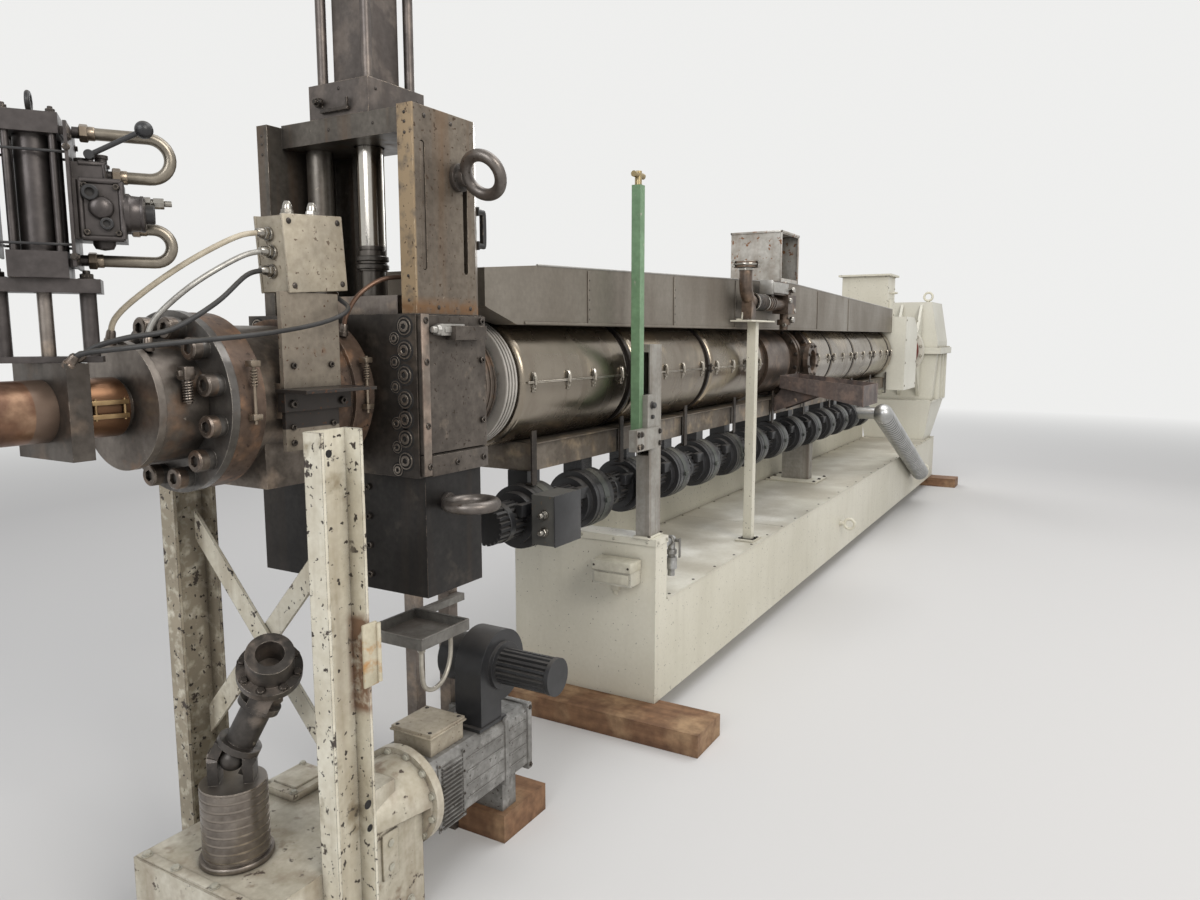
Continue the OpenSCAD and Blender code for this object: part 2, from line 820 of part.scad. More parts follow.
module slide_plate() {
    h = slide_w / 2;
    color(gunmetal) union() {
        block([changer_x - slide_t / 2, -h, guide_z0 + 40], [changer_x + slide_t / 2, h, slide_top]);
    }
}

heater_r = 200;
ring_r = 188;
body_r = 172;
body_x0 = -1690;
body_x1 = -1500;

module adapter_rings() {
    color(rust) {
        rod_x(-1360, block_x0, 165);
        rod_x(-1420, -1360, heater_r);
        rod_x(body_x1, -1420, ring_r);
        rod_x(-1760, body_x0, heater_r);
    }
}

module adapter_body() {
    color(steel) {
        rod_x(body_x0, body_x1, body_r);
        // Lugs that carry the bracket plate and the clamp below
        block([body_x0 + 50, -bracket_y, axis_z - 40], [body_x1 - 20, 0, axis_z + 40]);
        block([body_x0 + 40, -140, axis_z - body_r - 34], [body_x1 - 20, 140, axis_z - 100]);
    }
}

bracket_y = 189;

module bracket_plate() {
    y1 = -bracket_y;
    color(cream) {
        block([-1640, y1 - 12, axis_z + 46], [-1470, y1, axis_z + 246]);
        block([-1640, y1 - 12, axis_z - 115], [-1480, y1, axis_z - 24]);
    }
    color(gunmetal) {
        block([-1650, y1 - 24, axis_z - 24], [-1450, y1, axis_z + 20]);
        block([-1655, y1 - 100, axis_z + 20], [-1440, y1, axis_z + 28]);
        block([-1640, y1 - 12, axis_z + 28], [-1470, y1, axis_z + 46]);
    }
}

module bolt_flange() {
    color(steel) {
        rod_x(-1780, -1760, bolt_flange_r);
        for (k = [0 : 11])
            translate([0, 0, axis_z]) rotate([30 * k + 15, 0, 0])
                rod_x(-1812, -1780, 23, 0, bolt_flange_r - 34);
    }
}

module turned_neck() {
    color(steel) {
        rod_x(-1885, -1780, neck_r);
        rod_x(-1902, -1885, neck_r + 10);
        rod_x(valve_x0 + valve_len, -1902, outlet_r - 10);
        rod_x(-2006, -1914, outlet_r);
    }
}

valve_x0 = -2057;
valve_x1 = valve_x0 + valve_len;
valve_mid = (valve_x0 + valve_x1) / 2;
gate_r = 13;
gate_gap = 5;
gate_bore = 22;

module valve_body() {
    h = valve_w / 2;
    color(steel) difference() {
        block([valve_x0, -h, axis_z - h], [valve_x1, h, axis_z + h]);
        rod_x(valve_x0 - 5, valve_x0 + 2, outlet_bore);
        rod_z(axis_z + 5, axis_z + h + 10, gate_r + gate_gap, valve_mid, 0);
    }
}

module outlet_pipe() {
    color(rust) difference() {
        union() {
            rod_x(valve_x0 - 190, valve_x0, outlet_r);
            rod_x(valve_x0 - 215, valve_x0 - 190, outlet_r + 33);
        }
        rod_x(valve_x0 - 225, valve_x0 + 5, outlet_bore);
        for (k = [0 : 5])
            translate([valve_x0 - 225, 0, axis_z]) rotate([60 * k + 30, 0, 0])
                translate([0, 0, outlet_r + 16]) rotate([0, 90, 0]) cylinder(h = 45, r = 6);
    }
}

valve_beam_z = 1634;
valve_head_z = 1661;
valve_cap_z = 1928;
valve_head = 100;

// Everything of the valve's hydraulic cylinder, turned about the gate's axis
module at_valve() {
    translate([valve_mid, 0, 0]) rotate([0, 0, valve_turn]) children();
}

module valve_cylinder() {
    h = valve_head / 2;
    foot_z = axis_z + valve_w / 2;
    color(gunmetal) at_valve() difference() {
        union() {
            block([-94, -30, foot_z], [94, 30, foot_z + 12]);
            block([-100, -34, valve_beam_z], [100, 34, valve_head_z]);
            rod_z(foot_z + 12, valve_beam_z, 15, -74, 0);
            rod_z(foot_z + 12, valve_beam_z, 15, 74, 0);
            block([-h, -h, valve_head_z], [h, h, valve_head_z + 50]);
            rod_z(valve_head_z + 50, valve_cap_z, 32, 0, 0);
            for (sx = [-1, 1])
                for (sy = [-1, 1])
                    rod_z(valve_head_z + 50, valve_cap_z, 7, sx * 38, sy * 38);
            block([-h, -h, valve_cap_z], [h, h, valve_cap_z + 38]);
        }
        rod_z(foot_z - 10, foot_z + 20, gate_r + gate_gap, 0, 0);
        rod_z(valve_beam_z - 10, valve_head_z + 60, gate_r + gate_gap, 0, 0);
        rod_z(valve_head_z + 60, valve_cap_z - 10, gate_bore, 0, 0);
    }
}

module valve_rod() {
    color([0.75, 0.75, 0.74])
        union() {
            rod_z(axis_z + 15, valve_head_z + 130, gate_r, valve_mid, 0);
            rod_z(valve_head_z + 100, valve_head_z + 130, gate_bore - seat, valve_mid, 0);
        }
}

// A hose that leaves at z0, runs to x, turns back and ends at x1 on z1
module hose_loop(x0, x1, x, z0, z1, y, r) {
    big = abs(z1 - z0) / 2;
    rod_x(x0, x, r, y, z0);
    rod_x(x1, x, r, y, z1);
    translate([x, y, (z0 + z1) / 2]) rotate([90, 0, 0]) rotate([0, 0, -90])
        rotate_extrude(angle = 180, $fn = 32) translate([big, 0]) circle(r = r, $fn = 24);
}

manifold_x = valve_head / 2 + 10;

module valve_manifold() {
    x0 = manifold_x;
    color(gunmetal) at_valve() union() {
        block([x0, -75, valve_head_z + 20], [x0 + 6, 62, valve_cap_z + 20]);
        for (z = [valve_head_z + 22, valve_cap_z + 2])
            block([x0 - 10, -30, z], [x0, 30, z + 16]);
        block([x0 + 6, -55, 1735], [150, 40, 1848]);
        block([x0 + 6, -45, 1848], [122, 34, 1880]);
        rod_x(150, 186, 32, -26, 1790);
        rod_z(1880, lever_z - 9.3, 7, lever_x, lever_y);
        hose_loop(x0 + 6, 150, 196, 1700, 1766, 22, 11);
        hose_loop(x0 + 6, 122, 196, 1945, 1865, 18, 11);
    }
}

lever_x = 96;
lever_y = -30;
lever_z = 1896;

module valve_lever() {
    color(black) at_valve() translate([lever_x, lever_y, lever_z]) {
        rod_y(-11, 11, 9, 0, 0);
        rotate([0, 60, 0]) rotate_extrude() intersection() {
            union() {
                square([5, 105]);
                translate([0, 112]) circle(r = 17);
            }
            square([20, 150]);
        }
    }
}

post_x0 = -1630;
near_post_x0 = -1672;
base_y0 = -290;
base_y1 = 160;
plinth_h = 120;

// One channel that opens toward -Y, with its web at y
module channel(x0, y, z0, top, slope) {
    x1 = x0 + post_web;
    difference() {
        block([x0, y - post_flange, z0], [x1, y, top]);
        block([x0 + 9, y - post_flange - 5, z0 - 5], [x1 - 9, y - 7, top + 5]);
        translate([x0 - 5, y - 8, top]) rotate([-slope, 0, 0])
            block([0, -100, 0], [post_web + 10, 0, 100]);
    }
}

module stand() {
    color(cream) {
        channel(near_post_x0, base_y0, 10, 1343, 45);
        block([near_post_x0 - 14, base_y0 - post_flange - 14, 0],
              [near_post_x0 + post_web + 14, base_y0, 10]);
        channel(post_x0, post_y, plinth_h, 1337, 0);
        // Crossed flats between the channels
        intersection() {
            union() {
                for (s = [-1, 1])
                    translate([post_x0 + 56 + (s > 0 ? 10 : 0), 0, 790])
                        rotate([s * 42, 0, 0]) block([0, -27, -480], [8, 27, 480]);
            }
            block([post_x0, base_y0, drive_base_h + 6],
                  [post_x0 + post_web, post_y - post_flange, 1330]);
        }
    }
}

drive_y = -200;
drive_z = 298;
base_x0 = -1850;
base_x1 = -1324;
flange_x = -1318;

module drive_base() {
    color(cream)
        union() {
            block([base_x0, base_y0 + 0.3, 0], [base_x1, base_y1, drive_base_h]);
            // Low plinth behind it, for the far channel
            block([base_x0 + 120, base_y1 - 1, 0], [base_x1 - 60, post_y + 60, plinth_h]);
        }
}

module drive_gearcase() {
    color(cream) difference() {
        union() {
            rod_x(flange_x, flange_x + 28, 138, drive_y, drive_z);
            translate([flange_x - 176, drive_y, drive_z]) rotate([0, 90, 0])
                cylinder(h = 176, r1 = 84, r2 = 122);
            block([flange_x - 156, drive_y - 70, drive_z], [flange_x - 86, drive_y + 70, drive_z + 110]);
        }
        block([base_x0, -400, 0], [base_x1, 400, drive_base_h]);
    }
}

motor_x0 = flange_x + 28;
motor_x1 = motor_x0 + motor_body_len;

module drive_motor() {
    h = motor_w / 2;
    c = 18;
    color(galvanised) {
        translate([motor_x0, drive_y, drive_z]) rotate([90, 0, 90])
            linear_extrude(height = motor_body_len)
                polygon([[-h, -h + c], [-h + c, -h], [h - c, -h], [h, -h + c],
                         [h, h - c], [h - c, h], [-h + c, h], [-h, h - c]]);
        block([motor_x1 - 120, drive_y - 80, 90], [motor_x1 - 50, drive_y + 80, drive_z - h]);
    }
}

blower_fan_r = 108;

module motor_blower() {
    x = motor_x1 - 130;
    top = drive_z + motor_w / 2;
    z = top + 60 + blower_fan_r;
    y0 = drive_y - 96;
    color(black) {
        rod_y(y0, y0 + 96, blower_fan_r, x, z);
        block([x - blower_fan_r, y0, top + 10], [x - 10, y0 + 96, z]);
        block([x - blower_fan_r - 14, y0 - 4, top], [x + 10, y0 + 110, top + 10]);
        rod_y(y0 - 12, y0, 72, x, z);
        translate([x, y0 - 12, z]) rotate([90, 0, 0])
            linear_extrude(height = 170) polygon(fin_points(54, 8, 20));
        rod_y(y0 - 196, y0 - 182, 56, x, z);
    }
    color(galvanised)
        rod_y(y0 + 96, y0 + 190, 74, x, z);
}

// The shaft hangs free: it leans at its lower joint and is bent toward the operator above
shaft_lean = 27.5;
shaft_turn = -50;
shaft_mid = 203;
hub_lean = 40;
hub_turn = -126;

// Two fork arms and the cross of a universal joint, with the shaft's axis along Z
module fork(w, h) {
    for (s = [-1, 1])
        translate([0, s * (w - 12) + 12, 0]) rotate([90, 0, 0])
            linear_extrude(height = 24) polygon([
                [-26, h], [-26, -4], [-16, -22], [16, -22], [26, -4], [26, h]]);
}

module cardan_shaft() {
    x = -1720;
    y = -53;
    joint_z = drive_base_h + 250;
    color(gunmetal) {
        rod_z(drive_base_h, drive_base_h + 195, 76, x, y);
        translate([x, y, joint_z]) {
            rotate([180, 0, 40]) fork(52, 56);
            sphere(r = 30);
            rotate([0, shaft_lean, shaft_turn]) {
                translate([0, 0, 24]) cylinder(h = shaft_mid - 46, r = 36);
                rotate([0, 0, 90]) fork(52, 34);
                translate([0, 0, 32]) cylinder(h = 16, r = 52);
                translate([0, 0, shaft_mid]) {
                    rotate([180, 0, 0]) fork(50, 50);
                    sphere(r = 28);
                }
                translate([0, 0, shaft_mid - 62]) cylinder(h = 16, r = 50);
            }
        }
        translate([x + shaft_mid * sin(shaft_lean) * cos(shaft_turn),
                   y + shaft_mid * sin(shaft_lean) * sin(shaft_turn),
                   joint_z + shaft_mid * cos(shaft_lean)])
            rotate([0, hub_lean, hub_turn]) {
                rotate([0, 0, 90]) fork(50, 52);
                difference() {
                    union() {
                        translate([0, 0, 50]) cylinder(h = 24, r = 74);
                        translate([0, 0, 50]) cylinder(h = 85, r = 54);
                    }
                    translate([0, 0, 60]) cylinder(h = 90, r = 32);
                }
            }
    }
}

module drip_tray() {
    z = 730;
    x1 = -1120;
    color(steel) {
        difference() {
            block([-1320, -300, z], [x1, -100, z + 30]);
            block([-1316, -296, z + 4], [x1 - 4, -104, z + 40]);
        }
        // Arm to the leg behind it
        block([x1, -120, z + 4], [leg_x + leg_w / 2, -100, z + 26]);
        block([leg_x - leg_w / 2, -100, z + 4], [leg_x + leg_w / 2, -leg_y - leg_w / 2, z + 26]);
    }
}

module terminal_boxes() {
    top = drive_z + motor_w / 2;
    color(galvanised) {
        // Box beside the first blower
        block([-715, blower_y - drum_r - 86, 884], [-560, blower_y - drum_r, 1046]);
        // Box on the drive motor
        block([motor_x0 + 26, drive_y - 72, top], [motor_x0 + 166, drive_y + 62, top + 56]);
        block([motor_x0 + 22, drive_y - 76, top + 56], [motor_x0 + 170, drive_y + 66, top + 66]);
    }
    // Junction box over the adapter
    color(galvanised)
        translate([-1614, -bracket_y - 12, axis_z + 246]) rotate([0, -4, 0])
            block([0, 0, 0], [170, 92, 168]);
    // Connector on the end of the base
    color(cream)
        block([-88, -272, 579], [0, -99, 672]);
}

// Channel that stands on the raised box, with a clamp plate and a switch box
post_front = -305;

module grey_post() {
    y0 = post_front;
    color(galvanised) difference() {
        block([2, y0, end_box_top], [102, y0 + 58, 1520]);
        block([-5, y0 + 6, end_box_top + 330], [92, y0 + 52, 1490]);
    }
    color(gunmetal) {
        block([-170, y0 - 34, 1125], [34, y0, 1205]);
        block([-60, y0 - 22, 1205], [12, y0, 1330]);
    }
}

module green_post() {
    x = -88;
    color([0.50, 0.66, 0.50]) {
        block([x, post_front, 1120], [x + 36, post_front + 36, 2100]);
        rod_z(2100, 2150, 13, x + 18, post_front + 18);
        rod_x(x - 20, x + 56, 11, post_front + 18, 2136);
    }
}

module water_valve() {
    x = end_box_len + 120;
    y = -300;
    color(galvanised) {
        rod_x(end_box_len, x, 15, y, 712);
        rod_x(end_box_len + 30, end_box_len + 50, 21, y, 712);
        translate([x, y, 712]) sphere(r = 19);
        rod_z(560, 712, 15, x, y);
        rod_z(590, 640, 24, x, y);
        rod_z(655, 672, 21, x, y);
    }
}

sleepers();
base_frame();
deck_plates();
lifting_eyes();
changer_eyes();
barrel();
barrel_flange();
vent_section();
cover_straps();
upper_covers();
lower_covers();
plenums();
plenum_hangers();
blower_drums();
blower_motors();
exhaust_hood();
chimney();
vent_stand();
vent_line();
drip_trough();
air_duct();
feed_housing();
feed_box();
drive_coupling();
gearbox();
gearbox_pedestal();
barrel_pedestal();
barrel_supports();
screen_block();
block_cover();
lower_guide();
yoke_frame();
yoke_side_plate();
cylinder_heads();
cylinder_body();
piston_rod();
slide_plate();
adapter_rings();
adapter_body();
bracket_plate();
bolt_flange();
turned_neck();
valve_body();
outlet_pipe();
valve_cylinder();
valve_rod();
valve_manifold();
valve_lever();
stand();
drive_base();
drive_gearcase();
drive_motor();
motor_blower();
cardan_shaft();
drip_tray();
terminal_boxes();
grey_post();
green_post();
water_valve();
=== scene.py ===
import math

import bmesh
import bpy
from mathutils import Matrix, Vector


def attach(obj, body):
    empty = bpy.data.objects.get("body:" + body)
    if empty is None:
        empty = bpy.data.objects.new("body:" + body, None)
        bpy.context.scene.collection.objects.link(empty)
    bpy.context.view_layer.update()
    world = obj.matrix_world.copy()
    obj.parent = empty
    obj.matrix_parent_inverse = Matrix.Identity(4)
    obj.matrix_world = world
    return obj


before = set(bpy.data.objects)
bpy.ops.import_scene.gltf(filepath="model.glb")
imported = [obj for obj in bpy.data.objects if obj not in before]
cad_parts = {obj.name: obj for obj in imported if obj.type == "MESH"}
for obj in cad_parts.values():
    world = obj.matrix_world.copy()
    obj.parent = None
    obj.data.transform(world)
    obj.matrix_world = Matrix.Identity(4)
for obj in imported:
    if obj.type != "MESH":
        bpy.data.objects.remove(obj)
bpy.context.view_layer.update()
mm = 0.001
print("frame loaded:", len(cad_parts), "nodes")

# camera at the photograph's angle, at eye height
view = {"at": (-2.985, -1.789, 1.55), "tilt": 82.53, "turn": -60.28, "lens": 25.98, "sensor": 36, "clip": (0.02, 300)}


def linked(name, data):
    thing = bpy.data.objects.new(name, data)
    bpy.context.scene.collection.objects.link(thing)
    return thing


def makeCamera(v):
    data = bpy.data.cameras.new("camera")
    data.lens, data.sensor_width = v["lens"], v["sensor"]
    data.clip_start, data.clip_end = v["clip"]
    camera = linked("camera", data)
    camera.location = v["at"]
    camera.rotation_euler = (math.radians(v["tilt"]), 0, math.radians(v["turn"]))
    bpy.context.scene.camera = camera


makeCamera(view)


# small helpers for node trees
def plug(tree, socket, value):
    if isinstance(value, bpy.types.NodeSocket):
        tree.links.new(value, socket)
    else:
        socket.default_value = value


def put(tree, kind, inputs=None, **settings):
    n = tree.nodes.new(kind)
    for key, value in settings.items():
        setattr(n, key, value)
    for key, value in (inputs or {}).items():
        plug(tree, n.inputs[key], value)
    return n


def rgb(colour):
    return colour if isinstance(colour, bpy.types.NodeSocket) else (*colour, 1)


def mixColour(tree, amount, first, second, blend="MIX"):
    n = put(tree, "ShaderNodeMix", data_type="RGBA", blend_type=blend)
    for index, value in ((0, amount), (6, rgb(first)), (7, rgb(second))):
        plug(tree, n.inputs[index], value)
    return n.outputs[2]


def sums(tree, kind, first, second=0.0, third=0.0):
    return put(tree, "ShaderNodeMath", {0: first, 1: second, 2: third}, operation=kind).outputs[0]


def spread(tree, value, low, high, outLow=0.0, outHigh=1.0):
    limits = {"Value": value, "From Min": low, "From Max": high, "To Min": outLow, "To Max": outHigh}
    return put(tree, "ShaderNodeMapRange", limits).outputs[0]


def grain(tree, place, scale, detail, stretch=(1, 1, 1), roughness=0.55, shift=0.0):
    where = put(tree, "ShaderNodeMapping", {"Vector": place, "Scale": stretch, "Location": (shift, shift, shift)})
    return put(tree, "ShaderNodeTexNoise", {"Vector": where.outputs[0], "Scale": scale, "Detail": detail,
                                            "Roughness": roughness}).outputs[0]


def zoneMask(tree, axes, low, high, soft):
    mask = None
    for axis, start, end in zip(axes, low, high):
        for edge, sign in ((start, 1), (end, -1)):
            if edge is not None:
                part = spread(tree, axis, (edge - soft * sign) * mm, (edge + soft * sign) * mm)
                mask = part if mask is None else sums(tree, "MULTIPLY", mask, part)
    return mask


def finish(name, look):
    # one worn surface: patches, runs, specks, chips at the edges, real dirt mixed with painted shade in the corners,
    # dust on top
    material = bpy.data.materials.new(name)
    material.use_nodes = True
    tree = material.node_tree
    tree.nodes.clear()
    place = put(tree, "ShaderNodeTexCoord").outputs["Object"]
    normal = put(tree, "ShaderNodeNewGeometry").outputs["Normal"]
    axes = put(tree, "ShaderNodeSeparateXYZ", {0: place}).outputs

    def plus(a, b):
        return sums(tree, "ADD", a, b)

    def times(a, b):
        return sums(tree, "MULTIPLY", a, b)

    def without(value, mask):
        return times(value, sums(tree, "SUBTRACT", 1.0, mask))

    patches = grain(tree, place, look["patchScale"], 6, look["patchStretch"])
    fine = grain(tree, place, look["fineScale"], 3)
    colour = mixColour(tree, spread(tree, patches, 0.36, 0.64), look["base"], look["second"])
    if look["third"]:
        blotches = spread(tree, grain(tree, place, look["thirdScale"], 7, shift=3.7), look["thirdFrom"],
                          look["thirdFrom"] + 0.12)
        colour = mixColour(tree, blotches, colour, look["third"])
    mottle = spread(tree, fine, 0.3, 0.7, 0.0, look["mottle"])
    colour = mixColour(tree, mottle, colour, look["second"], "MULTIPLY")
    rough = spread(tree, patches, 0.3, 0.7, *look["rough"])
    metal = look["metal"]
    height = times(fine, look["fineBump"])
    if look["runs"]:
        runs = grain(tree, place, 1.0, 5, (look["runScale"], look["runScale"], 0.9), shift=1.3)
        runs = spread(tree, runs, 0.5, 0.72, 0.0, look["runs"])
        colour = mixColour(tree, runs, colour, look["runColour"])
        rough = plus(rough, times(runs, 0.25))
    if look["brushed"]:
        lines = grain(tree, place, 1.0, 3, look["brushed"], shift=0.4)
        rough = plus(rough, times(lines, 0.12))
        height = plus(height, times(lines, 0.5))
    for low, high, soft, paint, zoneRough, zoneMetal in look["zones"]:
        mask = zoneMask(tree, axes, low, high, soft)
        if soft > 1.5:
            mask = times(mask, spread(tree, grain(tree, place, 34, 6, shift=6.1), 0.28, 0.5))
        shade = mixColour(tree, spread(tree, patches, 0.3, 0.7), paint, [0.72 * c for c in paint])
        colour = mixColour(tree, mask, colour, shade)
        rough = plus(without(rough, mask), times(mask, zoneRough))
        metal = plus(without(metal, mask), times(mask, zoneMetal))
    if look["specks"]:
        dots = grain(tree, place, look["speckScale"], 2, shift=9.2)
        dots = spread(tree, dots, 0.70 - 0.08 * look["specks"], 0.73 - 0.08 * look["specks"])
        colour = mixColour(tree, dots, colour, look["speckColour"])
    rounded = put(tree, "ShaderNodeBevel", {"Radius": look["edge"] * mm}, samples=3).outputs[0]
    facing = put(tree, "ShaderNodeVectorMath", {0: rounded, 1: normal}, operation="DOT_PRODUCT").outputs["Value"]
    edges = spread(tree, facing, 0.995, 0.86)
    # ambient occlusion finds corners and recesses; it keeps wear out of them and paints shade into them
    inside = put(tree, "ShaderNodeAmbientOcclusion", {"Distance": look["cornerReach"] * mm}, samples=3,
                 only_local=False).outputs["AO"]
    corners = spread(tree, inside, 0.85, 0.35)
    if look["wear"]:
        chipped = grain(tree, place, look["chipScale"], 8, shift=5.5, roughness=0.65)
        chipped = plus(chipped, times(edges, look["edgeWear"]))
        limit = 0.74 - 0.2 * look["wear"]
        chipped = without(spread(tree, chipped, limit, limit + 0.03), corners)
        colour = mixColour(tree, chipped, colour, look["wearColour"])
        height = sums(tree, "SUBTRACT", height, times(chipped, 0.6))
        if look["wearMetal"]:
            metal = plus(without(metal, chipped), times(chipped, look["wearMetal"]))
    # painted shade in occluded corners and recesses, broken up by patches of real dirt
    if look["dirt"]:
        shadeAndGrimeMask = times(corners, spread(tree, patches, 0.25, 0.6, 0.4, 1.0))
        colour = mixColour(tree, times(shadeAndGrimeMask, look["dirt"]), colour, look["dirtColour"])
        rough = plus(rough, times(shadeAndGrimeMask, 0.15))
    if look["dust"]:
        upward = put(tree, "ShaderNodeSeparateXYZ", {0: normal}).outputs[2]
        dusty = times(spread(tree, upward, 0.55, 0.95), spread(tree, patches, 0.3, 0.6, 0.35, 1.0))
        colour = mixColour(tree, times(dusty, look["dust"]), colour, look["dustColour"])
        rough = plus(rough, times(dusty, 0.3))
    bump = put(tree, "ShaderNodeBump", {"Height": height, "Strength": look["bump"],
                                        "Distance": look["bumpDepth"] * mm, "Normal": rounded})
    shader = put(tree, "ShaderNodeBsdfPrincipled", {"Base Color": colour, "Roughness": rough, "Metallic": metal,
                                                    "Normal": bump.outputs[0]})
    put(tree, "ShaderNodeOutputMaterial", {0: shader.outputs[0]})
    return material


# finishes, named for what they cover; each names only what differs from its family
# near-black corner colour for steel: soot mixed with painted shade
sootAndShade = (0.030, 0.026, 0.022)
plain = {"patchScale": 5, "patchStretch": (1, 1, 1), "fineScale": 60, "thirdScale": 11, "thirdFrom": 0.52,
         "mottle": 0.25, "metal": 0.0, "fineBump": 0.3, "runScale": 16, "runs": 0, "brushed": None, "zones": (),
         "specks": 0, "speckScale": 85, "edge": 2.5, "cornerReach": 30, "wear": 0, "chipScale": 22, "edgeWear": 0.16,
         "dirt": 0, "dust": 0, "bump": 0.35, "bumpDepth": 0.8, "wearMetal": None, "third": None}


def family(**shared):
    return lambda base, second, **own: {**plain, **shared, "base": base, "second": second, **own}


paint = family(patchScale=9, rough=(0.34, 0.5), mottle=0.3, runColour=(0.2, 0.12, 0.07),
    speckColour=(0.04, 0.03, 0.025), wear=0.2, wearColour=(0.2, 0.19, 0.17), dirt=0.7, dirtColour=(0.07, 0.055, 0.04),
    dustColour=(0.13, 0.11, 0.09), edge=1.5)
smooth = family(patchScale=14, rough=(0.4, 0.6), mottle=0.3, runColour=(0.28, 0.24, 0.2),
    speckColour=(0.07, 0.06, 0.05), wearColour=(0.1, 0.05, 0.04), dirt=0.6, dirtColour=(0.08, 0.065, 0.05),
    dustColour=(0.12, 0.095, 0.07), edge=1)
oldSteel = family(patchScale=9, metal=0.6, rough=(0.35, 0.55), mottle=0.4, runColour=(0.03, 0.024, 0.02),
    speckColour=(0.06, 0.04, 0.03), wear=0.3, wearColour=(0.11, 0.085, 0.065), wearMetal=0.85, dirt=0.8,
    dirtColour=sootAndShade, dustColour=(0.13, 0.1, 0.08), edge=2)
steel = family(patchScale=14, metal=0.85, rough=(0.26, 0.46), mottle=0.35, runColour=(0.08, 0.06, 0.05),
    speckColour=(0.05, 0.036, 0.027), wear=0.3, wearColour=(0.28, 0.22, 0.17), wearMetal=0.9, dirt=0.85,
    dirtColour=sootAndShade, dustColour=(0.2, 0.155, 0.11), edge=2)
